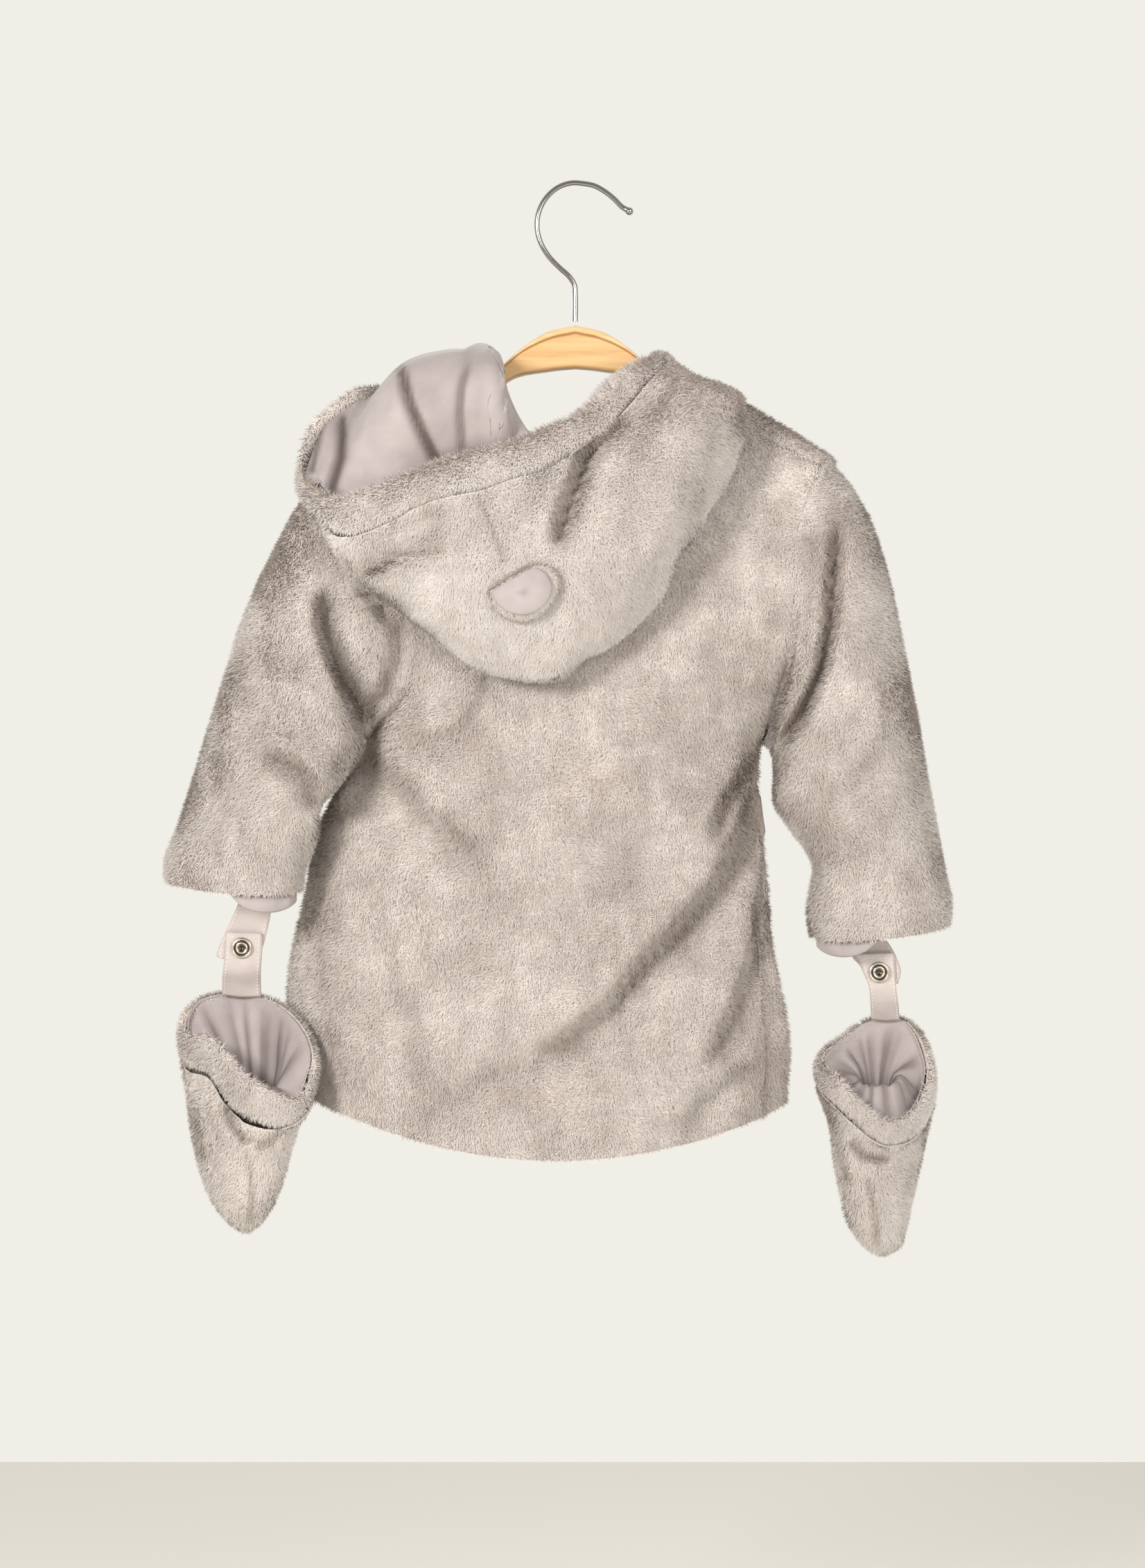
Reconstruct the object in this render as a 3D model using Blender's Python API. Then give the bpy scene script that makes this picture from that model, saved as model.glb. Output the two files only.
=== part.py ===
"""Hooded short coat of plush cloth with hanging mittens, on a child's wooden hanger.

Seen from behind: +X is the wearer's right, -Y the wearer's back, +Z up. The origin is the seat of
the hanger's hook. Outlines are read on a grid of STEP, columns to the right and rows down, as they
line up from EYE with the plane y = 0. seen() carries a grid point out to its depth in millimetres.
"""
import math

import bmesh
import bpy
import numpy as np
from mathutils.bvhtree import BVHTree

MM = 0.001

# Driving sizes
STEP = 0.4 * MM
HOOK_COLUMN, HOOK_ROW = 842, 269
EYE = np.array([-6.4, -2200.0, -345.0]) * MM
PLUSH = 3.5 * MM
LINING = 1.5 * MM
GAP = 0.3 * MM
SEAM_SHARE, SEAM_CELLS = 0.4, 2   # how thin a seam presses the plush, and over how many cells
# Where a seam gathers the cloth: over how many cells, the wall's share of their length, its least
GATHERED, CREASED, THINNEST = 4, 0.4, 0.8 * MM
WOOD_THICK = 12 * MM
WIRE_DIAMETER = 3.1 * MM
BALL_DIAMETER = 4.6 * MM
STRAP_THICK = 1.6 * MM
SNAP_DIAMETER = 12 * MM

# Looks as colour, roughness and metallic value
PLUSH_LOOK = ((0.58, 0.53, 0.47), 0.95, 0)
LINING_LOOK = ((0.60, 0.54, 0.53), 0.7, 0)
WOOD_LOOK = ((0.55, 0.34, 0.15), 0.45, 0)
CHROME_LOOK = ((0.75, 0.75, 0.75), 0.15, 1)
SNAP_LOOK = ((0.62, 0.58, 0.50), 0.3, 1)

# How many cells each sheet has
BODY_LOW_ROWS, ARMHOLE_ROWS, OVER_ROWS = 14, 10, 3
SHOULDER_CELLS, NECK_CELLS, FRONT_CELLS = 5, 10, 6
SLEEVE_ROWS = 16
HOOD_ALONG, HOOD_ACROSS = 16, 32
SEAM_SECTION, SEAM_ROW = 6, 10    # the hood's section and row on which its two seams lie
LINED = (9, 15, 18, 31)            # the hood's rows and columns, first and last, that its lining covers
SHARPEST, HIGHEST = 40, 9         # no fold turns or stands more sharply than the cells show (steps, mm)

# The body's rows: side seams as (column, row, depth), then the middle's depth behind and in front
BODY_LOW = (
    # row        left seam            right seam           back  front
    ("hem",      (430, 1578, 6),      (1104, 1612, -20),   -50,  44),
    ("flare",    (414, 1500, 6),      (1108, 1500, -26),   -50,  44),
    ("belly",    (412, 1430, 6),      (1101, 1440, -22),   -49,  43),
    ("waist",    (421, 1360, 6),      (1097, 1350, -8),    -48,  42),
    ("rib",      (438, 1290, 8),      (1101, 1250, 0),     -46,  41),
    ("chest",    (456, 1200, 8),      (1094, 1160, 0),     -44,  39),
    ("underarm", (528, 1066, -8),    (1099, 1075, 0),     -42,  37),
)
# The armhole seams behind, from the underarm to the shoulder tip, with the back's middle depth
ARMHOLE_BACK = (
    # left edge           right edge          middle
    ((528, 1066, -8),     (1099, 1075, 0),    -42),
    ((570, 1016, -21),    (1115, 1022, -14),  -41),
    ((600, 965, -30),     (1140, 955, -24),   -40),
    ((611, 905, -35),     (1147, 890, -29),   -39),
    ((592, 825, -34),     (1143, 815, -30),   -37),
    ((545, 755, -25),     (1158, 738, -24),   -34),
    ((478, 692, -12),     (1190, 670, -12),   -31),
)
# The armhole seams in front, with the depth of the front's edge at the centre
ARMHOLE_FRONT = (
    # left edge           right edge          centre
    ((528, 1066, -8),     (1099, 1075, 0),    37),
    ((543, 1005, 12),     (1106, 1020, 14),   37),
    ((546, 930, 30),      (1126, 940, 24),    37),
    ((545, 860, 32),      (1133, 870, 28),    37),
    ((525, 795, 27),      (1142, 800, 26),    37),
    ((492, 735, 20),      (1168, 730, 21),    38),
    ((462, 692, 13),      (1206, 674, 13),    39),
    ((465, 673, 3),       (1204, 661, 3),     40),
    ((472, 675, -7),      (1197, 656, -7),    40),
    ((478, 692, -13),     (1190, 670, -13),   40),
)
# Shoulder seams from tip to neck, and the necklines behind and in front
SHOULDER_LEFT = ((478, 692, -13), (560, 632, -13), (640, 588, -13), (690, 560, -13))
SHOULDER_RIGHT = ((1190, 670, -13), (1130, 641, -13), (1083, 618, -13), (1020, 591, -13), (975, 571, -14))
SHOULDER_RISE = (((0, 15), (0.25, 36), (0.6, 40), (1, 28)),  # rows from seam to ridge, tip to neck
                 ((0, 13), (0.25, 28), (0.6, 34), (1, 27)))
NECK_BACK = ((690, 560, -13), (716, 606, -24), (765, 646, -31), (830, 663, -34),
             (893, 646, -31), (945, 605, -24), (975, 571, -14))
NECK_FRONT_LEFT = ((690, 560, -13), (688, 543, -4), (692, 560, 15), (704, 612, 26), (745, 668, 33),
                   (800, 700, 42), (858, 706, 44))
NECK_FRONT_RIGHT = ((975, 571, -14), (977, 545, -4), (972, 562, 17), (952, 616, 24), (905, 668, 30),
                    (865, 698, 34), (810, 706, 36))
NECK_TURN = 2                     # points of each front neckline that turn over the shoulder
# The front's rows over the shoulder, at the ridge, crest and in front of it: rows and mm from the
# ridge's height and the seam, then the same from the neckline's crest and from its other points
TURN_ROWS = ((5, 5, 0, 5, 5, 0.2), (0, 16, 4, 14, 12, 0.4), (26, 27, 24, 20, 26, 0.6))
CENTRE_COLUMN = 834
LAP, LAP_DEPTH = 24, 4            # columns that each front passes the centre, and mm above or below
HEM_MIDDLE, HEM_FRONT = 80, 46    # rows that the hem hangs below its ends
SIDE_TURN = ((0, 0), (42, -24))   # columns and rows from the side seam out to the front's turn

# Folds: the line with its high side on the left as it runs, then heights in mm and widths in steps
BACK_FOLDS = (
    # name, line, rise, drop, rise width, drop width, edge width
    ("main sweep", ((735, 1535), (805, 1499), (873, 1451), (924, 1392), (976, 1339), (1027, 1278),
                    (1057, 1227), (1078, 1165), (1090, 1110)), 9, 15, 110, 60, 9),
    ("pocket", ((1026, 1215), (1031, 1180), (1045, 1150), (1072, 1115), (1096, 1082)), 6, 8, 60, 30, 8),
    ("side sweep", ((1005, 1550), (1038, 1492), (1056, 1455), (1078, 1395), (1093, 1345), (1102, 1270)),
     8, 12, 50, 44, 8),
    ("pinch sweep", ((520, 1035), (545, 1083), (575, 1127), (612, 1168), (655, 1205), (705, 1240)),
     8, 10, 120, 90, 12),
    ("lobe", ((528, 1040), (600, 1066), (660, 1052), (690, 1008), (694, 950)), 5, 4, 60, 50, 12),
    ("low swell", ((600, 1612), (690, 1552), (760, 1530), (860, 1500), (950, 1440)), 4, 5, 80, 60, 26),
    ("left flank", ((590, 1620), (520, 1450), (500, 1300), (520, 1130)), 4, 3, 80, 120, 40),
    ("right hem", ((980, 1650), (1000, 1590), (1060, 1545), (1110, 1530)), 3, 5, 50, 40, 14),
)
FRONT_FOLDS = (
    ("left sweep", ((520, 1080), (570, 1180), (660, 1290), (770, 1380)), 7, 9, 100, 80, 16),
    ("right sweep", ((930, 1420), (1000, 1330), (1050, 1220), (1080, 1110)), 7, 9, 100, 70, 16),
    ("left hem", ((560, 1640), (540, 1500), (580, 1360)), 6, 6, 80, 80, 30),
    ("right hem", ((900, 1640), (940, 1540), (1010, 1450)), 6, 6, 80, 80, 30),
)
SLEEVE_FOLDS = (
    ("right head", ((1104, 1092), (1150, 1026), (1178, 962), (1191, 900), (1196, 830), (1201, 770),
                    (1206, 738)), 3, 15, 34, 36, 6),
    ("right elbow", ((1150, 1172), (1230, 1120), (1310, 1020)), 4, 4, 60, 60, 20),
    ("right wrist", ((1330, 1262), (1240, 1236), (1172, 1244)), 3, 4, 40, 40, 12),
    ("left wrist", ((372, 1082), (408, 1090), (440, 1106), (455, 1134), (464, 1172)), 7, 9, 60, 46, 9),
    ("left arm edge", ((534, 1066), (517, 1024), (500, 998), (476, 950), (458, 905), (461, 866), (478, 838)),
     4, 15, 70, 40, 8),
    ("left swirl", ((506, 1026), (548, 998), (568, 945), (561, 905), (541, 868), (500, 838)),
     7, 8, 40, 30, 8),
    ("left upper", ((330, 985), (410, 1010), (500, 1062)), 4, 4, 60, 60, 24),
)
SLEEVE_BACK_FOLDS = (
    ("left front bend", ((300, 1120), (380, 1080), (450, 1010)), 6, 6, 60, 60, 18),
    ("left front head", ((400, 900), (450, 840), (480, 760)), 5, 6, 60, 50, 16),
    ("right front bend", ((1180, 1120), (1250, 1150), (1330, 1190)), 6, 6, 60, 60, 18),
    ("right front head", ((1180, 760), (1210, 850), (1230, 960)), 5, 6, 60, 50, 16),
)

# Sleeves: outer and inner edge of each section, and how far it swells behind and in front (mm)
SLEEVE_LEFT = (
    # outer edge          inner edge          behind front
    ((452, 704, -4),      (522, 1068, -11),   31, 28),
    ((428, 730, -5),      (521, 1072, -17),   29, 27),
    ((400, 782, -5),      (525, 1075, -24),   28, 28),
    ((372, 838, -5),      (520, 1088, -30),   27, 29),
    ((345, 905, -5),      (506, 1113, -36),   27, 30),
    ((320, 985, -5),      (484, 1142, -39),   27, 30),
    ((296, 1062, -5),     (462, 1168, -36),   28, 29),
    ((274, 1135, -5),     (461, 1200, -31),   28, 28),
    ((252, 1200, -5),     (453, 1228, -28),   28, 27),
    ((236, 1240, -5),     (442, 1256, -26),   29, 27),
    ((236, 1270, -5),     (438, 1284, -24),   29, 27),
)
SLEEVE_RIGHT = (
    ((1222, 690, 0),      (1111, 1085, 0),    34, 31),
    ((1254, 745, 0),      (1115, 1099, 0),    36, 33),
    ((1285, 840, 0),      (1116, 1130, 0),    37, 33),
    ((1303, 925, 0),      (1116, 1162, 0),    37, 32),
    ((1320, 1010, 0),     (1140, 1198, 0),    36, 31),
    ((1334, 1090, 0),     (1162, 1228, 0),    35, 30),
    ((1350, 1180, 0),     (1172, 1256, 0),    34, 30),
    ((1366, 1262, 0),     (1166, 1290, 0),    33, 30),
    ((1375, 1312, 0),     (1163, 1325, 0),    33, 30),
    ((1372, 1334, 0),     (1168, 1350, 0),    33, 30),
)
CUFF_DIP = (14, 14)               # rows that each cuff hangs lower behind, left and right

# The hood's sections, from the rim's seam round the bottom of the bag to the other rim or neckline
HOOD = (
    # rim seam, near middle, near low, bottom, far middle
    # far high, far top, turned over, end
    ((464, 752, -50), (457, 739, -46), (452, 729, -43), (450, 722, -38), (450, 715, -32),
     (451, 708, -27), (453, 702, -23), (456, 697, -20), (459, 693, -18)),
    ((478, 771, -59), (479, 784, -59), (478, 790, -56), (476, 788, -47), (472, 750, -36),
     (469, 700, -26), (470, 660, -20), (473, 642, -14), (478, 627, -8)),
    ((508, 774, -66), (515, 808, -66), (520, 835, -60), (520, 842, -50), (508, 800, -43),
     (503, 715, -34), (510, 650, -24), (520, 614, -14), (530, 590, -4)),
    ((548, 759, -70), (552, 815, -71), (562, 865, -64), (568, 880, -53), (552, 830, -48),
     (543, 700, -40), (558, 566, -26), (564, 553, -12), (570, 557, 3)),
    ((592, 738, -73), (600, 815, -76), (628, 888, -70), (640, 938, -54), (618, 870, -49),
     (598, 700, -41), (604, 527, -26), (606, 524, -7), (604, 567, 15)),
    ((642, 718, -75), (668, 805, -79), (705, 905, -73), (735, 988, -55), (700, 890, -50),
     (655, 700, -42), (664, 516, -24), (662, 508, -3), (646, 572, 28)),
    ((697, 706, -75), (727, 775, -80), (778, 900, -76), (812, 987, -55), (775, 890, -50),
     (706, 700, -43), (702, 513, -24), (697, 507, 2), (690, 612, 41)),
    ((740, 690, -74), (778, 760, -79), (830, 890, -76), (868, 958, -55), (820, 870, -50),
     (725, 700, -43), (711, 519, -24), (708, 511, -4), (709, 541, 21)),
    ((777, 681, -73), (820, 755, -80), (875, 865, -77), (918, 915, -55), (860, 845, -50),
     (745, 700, -43), (716, 535, -27), (714, 519, -14), (711, 513, -1)),
    ((812, 664, -71), (862, 745, -82), (915, 830, -78), (957, 862, -54), (895, 815, -49),
     (772, 700, -43), (721, 565, -31), (716, 551, -26), (712, 539, -20)),
    ((846, 646, -68), (905, 730, -83), (950, 790, -76), (988, 812, -53), (920, 785, -48),
     (802, 704, -43), (745, 618, -38), (740, 612, -34), (733, 607, -31)),
    ((880, 612, -62), (945, 700, -82), (982, 745, -73), (1017, 758, -51), (945, 745, -47),
     (845, 712, -43), (800, 668, -41), (793, 660, -39), (785, 652, -37)),
    ((910, 580, -54), (978, 665, -76), (1010, 700, -66), (1041, 720, -48), (975, 710, -45),
     (895, 700, -42), (855, 676, -41), (848, 669, -40), (840, 661, -39)),
    ((935, 550, -48), (1005, 625, -68), (1035, 655, -60), (1061, 670, -45), (1000, 665, -42),
     (935, 665, -40), (900, 655, -38), (894, 649, -37), (888, 643, -37)),
    ((950, 535, -42), (1020, 590, -58), (1050, 612, -52), (1077, 612, -40), (1015, 625, -34),
     (960, 635, -34), (932, 622, -33), (927, 618, -32), (922, 613, -32)),
    ((962, 522, -36), (1022, 560, -49), (1052, 570, -45), (1075, 568, -35), (1015, 590, -28),
     (968, 604, -28), (952, 594, -27), (949, 590, -26), (946, 586, -26)),
    ((968, 516, -28), (1010, 540, -38), (1025, 546, -36), (1035, 552, -31), (1010, 566, -25),
     (985, 566, -23), (975, 558, -21), (973, 555, -20), (971, 552, -20)),
)
HOOD_FOLDS = (
    ("big fold", ((796, 800), (800, 765), (812, 720), (842, 655), (880, 607), (915, 572), (955, 532)),
     3, 9, 60, 45, 7),
    ("gusset crease", ((655, 786), (600, 797), (550, 822), (505, 832)), 5, 5, 40, 45, 9),
    ("right soft", ((1000, 600), (950, 720), (900, 830), (880, 910)), 3, 3, 70, 70, 35),
)
# The band's free edge and its seam, from its end at the right front to the one at the left front,
# with its thickness in mm
BAND = (
    ((862, 648, 42), (874, 684, 45), 9), ((890, 618, 36), (906, 650, 40), 9),
    ((922, 566, 28), (946, 596, 32), 9), ((940, 518, 20), (972, 540, 22), 7),
    ((942, 508, 8), (972, 520, 8), 6), ((943, 508, -6), (973, 518, -8), 6),
    ((944, 508, -16), (972, 520, -22), 7), ((946, 509, -23), (966, 524, -31), 8),
    ((936, 508, -25), (955, 536, -37), 9), ((915, 512, -30), (935, 552, -44), 10),
    ((888, 530, -38), (910, 580, -52), 10), ((862, 550, -44), (880, 612, -62), 11),
    ((840, 578, -52), (846, 646, -68), 11), ((808, 596, -57), (812, 664, -71), 11),
    ((775, 610, -60), (777, 681, -73), 11), ((740, 624, -62), (740, 690, -74), 11),
    ((700, 635, -63), (697, 706, -75), 11), ((650, 646, -63), (642, 718, -75), 11),
    ((600, 665, -62), (592, 738, -73), 11), ((555, 683, -60), (548, 759, -70), 11),
    ((515, 700, -57), (508, 774, -66), 9), ((487, 708, -53), (472, 759, -62), 6),
    ((462, 700, -45), (447, 732, -52), 4), ((443, 690, -38), (433, 722, -41), 5),
    ((431, 678, -30), (429, 708, -28), 4), ((430, 658, -24), (438, 684, -17), 4),
    ((436, 630, -18), (455, 646, -12), 4), ((454, 602, -13), (471, 615, -9), 5),
    ((482, 580, -9), (497, 596, -5), 5), ((512, 561, -4), (525, 578, -2), 5),
    ((544, 560, 5), (552, 571, 8), 5), ((574, 563, 15), (575, 578, 20), 6),
    ((606, 578, 22), (602, 600, 26), 6), ((646, 594, 33), (643, 620, 36), 7),
    ((684, 630, 43), (680, 658, 45), 7),
)
BAND_CELLS, BAND_SIDES = 48, 8
ROLL_FILL, ROUNDING = 0.86, 0.9   # share of a roll's height that it fills, and how round it is

# The one ear that shows, sewn flat on the hood by its upper edge, and its smooth inner disc
EAR = ((703, 850), (712, 880), (730, 893), (755, 898), (785, 885), (803, 860), (808, 835), (800, 822),
       (780, 812), (740, 826), (703, 850))
EAR_INNER = ((709, 854), (715, 868), (736, 884), (763, 886), (786, 872), (796, 850), (791, 833), (775, 820),
             (743, 834), (709, 854))
EAR_LOOPS = ((0.4, 0.6), (0.85, 0.6), (0.97, 1.4), (1.0, 3.4), (0.95, 6.0), (0.8, 7.8), (0.45, 8.8))
EAR_INNER_LOOPS = ((0.5, 0.8), (0.95, 0.8), (1.0, 1.3), (0.93, 1.9), (0.5, 2.1))

# The lining that bulges under each cuff: its middle column, half width and rows
CUFF_BULGE = {"left": (388, 52, 26), "right": (1214, 48, 24)}
CUFF_INSIDE = 6                   # rows that the lining's last but one ring lies inside the cuff

# Straps as pairs of edge points from the cuff down, with the snap's place
SLEEVE_STRAPS = {
    "left": (((352, 1266, -17), (396, 1266, -17)), ((345, 1300, -14), (390, 1318, -14)),
             ((325, 1345, -12), (385, 1345, -12)), ((312, 1377, -12), (378, 1370, -12)),
             ((320, 1384, -12), (372, 1388, -12))),
    "right": (((1226, 1312, -17), (1262, 1312, -17)), ((1250, 1345, -14), (1272, 1345, -14)),
              ((1229, 1376, -12), (1290, 1374, -12)), ((1241, 1394, -12), (1300, 1400, -12)),
              ((1250, 1414, -12), (1296, 1420, -12))),
}
MITTEN_STRAPS = {
    "left": (((326, 1345, -14), (378, 1347, -14)), ((325, 1368, -14), (378, 1370, -14)),
             ((323, 1387, -14), (377, 1388, -14)), ((321, 1404, -12), (376, 1405, -12)),
             ((320, 1421, -4), (376, 1423, -5)), ((320, 1438, 2), (376, 1439, -2.5))),
    "right": (((1232, 1377, -14), (1290, 1375, -14)), ((1242, 1392, -14), (1291, 1392, -14)),
              ((1253, 1422, -14), (1293, 1422, -14)), ((1255, 1440, -11), (1295, 1442, -11)),
              ((1256, 1456, -5), (1297, 1458, -5)), ((1257, 1473, 3), (1298, 1474, 2))),
}
SNAPS = {"left": (349, 1368), "right": (1268, 1403)}
SNAP_WIRE = 2.2 * MM

# Mitten rolls as pairs of top and bottom edge points, from the left round the near side
MITTEN_ROLLS = {
    "left": (((262, 1488, -16), (264, 1538, -16)), ((303, 1490, -37), (300, 1552, -38)),
             ((343, 1535, -49), (337, 1605, -50)), ((395, 1572, -55), (398, 1628, -55)),
             ((436, 1578, -50), (438, 1612, -51)), ((461, 1530, -36), (456, 1562, -36)),
             ((443, 1476, -21), (440, 1502, -19)), ((400, 1440, -2), (404, 1464, 0)),
             ((340, 1427, 11), (340, 1451, 13)), ((286, 1437, 7), (284, 1463, 8)),
             ((261, 1462, -4), (260, 1494, -4))),
    "right": (((1177, 1530, -16), (1178, 1568, -16)), ((1204, 1548, -35), (1203, 1594, -36)),
              ((1236, 1582, -43), (1234, 1622, -44)), ((1280, 1612, -43), (1279, 1654, -43)),
              ((1322, 1598, -33), (1324, 1638, -33)), ((1346, 1545, -12), (1349, 1586, -11)),
              ((1334, 1492, 2), (1337, 1522, 4)), ((1300, 1464, 10), (1302, 1492, 12)),
              ((1250, 1468, 12), (1249, 1496, 14)), ((1208, 1494, 4), (1206, 1522, 5)),
              ((1185, 1512, -7), (1184, 1542, -6))),
}
ROLL_THICK, ROLL_SIDES = 8 * MM, 8
ROLL_CLEAR = 2.2 * MM             # from the roll's lower edge to the mitten's body
# Mitten bodies below the rolls: edges, swell behind and in front (mm), dip behind and in front (rows)
MITTENS = {
    "left": (((270, 1600, -16), (432, 1622, -37), 24, 24, 30, -60),
             ((278, 1652, -17), (420, 1662, -34), 22, 19, 10, -20),
             ((292, 1702, -20), (410, 1702, -30), 19, 17, 0, 0),
             ((312, 1745, -22), (392, 1745, -27), 14, 12, 0, 0),
             ((335, 1770, -23), (373, 1770, -25), 7, 6, 0, 0),
             ((348, 1778, -24), (362, 1778, -24), 2, 2, 0, 0)),
    "right": (((1196, 1622, -16), (1336, 1642, -16), 25, 22, 26, -50),
              ((1201, 1668, -16), (1328, 1682, -16), 22, 20, 8, -16),
              ((1211, 1720, -16), (1317, 1732, -16), 18, 16, 0, 0),
              ((1226, 1772, -16), (1307, 1776, -16), 13, 12, 0, 0),
              ((1248, 1801, -16), (1297, 1802, -16), 7, 6, 0, 0),
              ((1264, 1811, -16), (1280, 1811, -16), 2, 2, 0, 0)),
}
MITTEN_CELLS, MITTEN_ROWS = 10, 8
# The gathered lining in each mitten's mouth: loops as centre, half width and half depth (mm)
FUNNELS = {
    "left": (((366, 1562, -27), 15, 13), ((368, 1586, -27), 12, 10), ((366, 1608, -27), 14, 11)),
    "right": (((1266, 1556, -16), 13, 12), ((1265, 1584, -16), 10, 9), ((1264, 1612, -16), 13, 12)),
}
FUNNEL_ROWS = 4

# Hanger: the hook's centre line from its free end, and the wood's outline for the right half
HOOK = ((908, 305), (898, 299), (886, 287), (872, 276), (857, 268), (842, 265), (826, 264), (808, 269),
        (793, 280), (782, 295), (776, 312), (775, 330), (780, 350), (791, 369), (808, 387), (822, 400),
        (829, 412), (830, 425), (830, 464))
HOOK_CELLS = 38
WOOD_MIDDLE = 830
WOOD_TOP = ((830, 470), (869, 479), (900, 497), (930, 523), (960, 555), (1000, 584), (1050, 606),
            (1100, 627), (1132, 643), (1146, 651))
WOOD_UNDER = ((1151, 661), (1144, 669), (1130, 664), (1100, 651), (1050, 629), (1000, 608), (960, 582),
              (920, 548), (868, 537), (830, 533))
WOOD_BEVEL, WOOD_CELLS = 1.2 * MM, 12


def seen(column, row, depth):
    """Grid column and row with a depth in mm, as a point in metres."""
    column, row, depth = np.broadcast_arrays(np.asarray(column, float), row, depth)
    y = depth * MM
    reach = (y - EYE[1]) / -EYE[1]
    x = EYE[0] + ((column - HOOK_COLUMN) * STEP - EYE[0]) * reach
    z = EYE[2] + ((HOOK_ROW - row) * STEP - EYE[2]) * reach
    return np.stack([x, y, z], axis=-1)


def place(points):
    """A list or array of (column, row, depth) as points in metres."""
    points = np.asarray(points, float)
    return seen(points[..., 0], points[..., 1], points[..., 2])


def on_grid(points):
    """The grid column and row on which points in metres are seen."""
    reach = (points[..., 1] - EYE[1]) / -EYE[1]
    column = ((points[..., 0] - EYE[0]) / reach + EYE[0]) / STEP + HOOK_COLUMN
    row = HOOK_ROW - ((points[..., 2] - EYE[2]) / reach + EYE[2]) / STEP
    return column, row


def ease(t):
    t = np.clip(t, 0, 1)
    return t * t * (3 - 2 * t)


def through(knots, values, at):
    """A smooth curve through values at rising knots, read at the given places."""
    knots, values, at = np.asarray(knots, float), np.asarray(values, float), np.asarray(at, float)
    width = np.diff(knots)
    shape = (-1,) + (1,) * (values.ndim - 1)
    slope = np.diff(values, axis=0) / width.reshape(shape)
    before, after = width[:-1].reshape(shape), width[1:].reshape(shape)
    middle = (slope[:-1] * after + slope[1:] * before) / (before + after)
    tangent = np.concatenate([slope[:1], middle, slope[-1:]])
    cell = np.clip(np.searchsorted(knots, at, side="right") - 1, 0, len(width) - 1)
    t = ((at - knots[cell]) / width[cell]).reshape(shape)
    step = width[cell].reshape(shape)
    return ((1 + 2 * t) * (1 - t) ** 2 * values[cell] + t * (1 - t) ** 2 * step * tangent[cell]
            + t * t * (3 - 2 * t) * values[cell + 1] + t * t * (t - 1) * step * tangent[cell + 1])


def spaced(points, cells, fine=24):
    """Points at even distances along a smooth curve through the given points."""
    points = np.asarray(points, float)
    knots = np.r_[0, np.cumsum(np.linalg.norm(np.diff(points, axis=0), axis=1))]
    at = np.linspace(0, knots[-1], fine * len(points))
    dense = through(knots, points, at)
    length = np.r_[0, np.cumsum(np.linalg.norm(np.diff(dense, axis=0), axis=1))]
    even = np.interp(np.linspace(0, length[-1], cells + 1), length, at)
    result = through(knots, points, even)
    result[0], result[-1] = points[0], points[-1]
    return result


def swell(u, power=2.0):
    """0 at both ends and 1 in the middle, as a rounded section."""
    return (1 - np.abs(2 * u - 1) ** power) ** (1 / power)


def beside(line, column, row):
    """Distance from a line of grid points, positive on its left, and the share of its length."""
    line = np.asarray(line, float)
    best = np.full(column.shape, 1e9)
    side, along = np.zeros(column.shape), np.zeros(column.shape)
    lengths = np.linalg.norm(np.diff(line, axis=0), axis=1)
    before = np.r_[0, np.cumsum(lengths)]
    for start, end, length, done in zip(line, line[1:], lengths, before):
        way = (end - start) / length
        reach = np.clip((column - start[0]) * way[0] + (row - start[1]) * way[1], 0, length)
        off_column = column - start[0] - reach * way[0]
        off_row = row - start[1] - reach * way[1]
        distance = np.hypot(off_column, off_row)
        nearer = distance < best
        best = np.where(nearer, distance, best)
        left = np.where(off_column * way[1] - off_row * way[0] >= 0, 1.0, -1.0)
        side = np.where(nearer, distance * left, side)
        along = np.where(nearer, (done + reach) / before[-1], along)
    return side, along


def fold_height(folds, column, row):
    """Height in metres that the folds add at grid points."""
    height = np.zeros(column.shape)
    for _, line, rise, drop, rise_width, drop_width, edge in folds:
        side, along = beside(line, column, row)
        edge = max(edge, SHARPEST)
        fade = ease(along / 0.22) * ease((1 - along) / 0.16)
        high = rise * np.clip(1 - (side / rise_width) ** 2, 0, 1) ** 2
        low = -drop * np.clip(1 - (side / drop_width) ** 2, 0, 1) ** 2
        height += fade * (low + (high - low) * ease(0.5 + side / (2 * edge)))
    return np.clip(height, -HIGHEST, HIGHEST) * MM


def bend_sheets(sheets, back_folds, front_folds):
    """Move the sheets' points along Y by their folds, as far as each faces back or front.

    The seams that sheets share stay where they are."""
    facing = shared_normals(sheets)
    for name, points in sheets.items():
        column, row = on_grid(points)
        lines, across = np.indices(points.shape[:2])
        away = {"top": points.shape[0] - 1 - lines, "start": lines, "left": across,
                "right": points.shape[1] - 1 - across}
        loose = np.prod([ease(away[edge] / HELD_CELLS) for edge in HELD_EDGES[name]], axis=0)
        behind = np.clip(-facing[name][..., 1] * 1.6, 0, 1) * loose
        ahead = np.clip(facing[name][..., 1] * 1.6, 0, 1) * loose
        points[..., 1] -= behind * fold_height(back_folds, column, row)
        points[..., 1] += ahead * fold_height(front_folds, column, row)


HELD_CELLS = 3                    # cells over which a fold fades towards a seam
HELD_EDGES = {"back": ("top", "left", "right"), "front_left": ("top", "right"),
              "front_right": ("top", "left"), "sleeve_left": ("start",), "sleeve_right": ("start",)}


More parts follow.
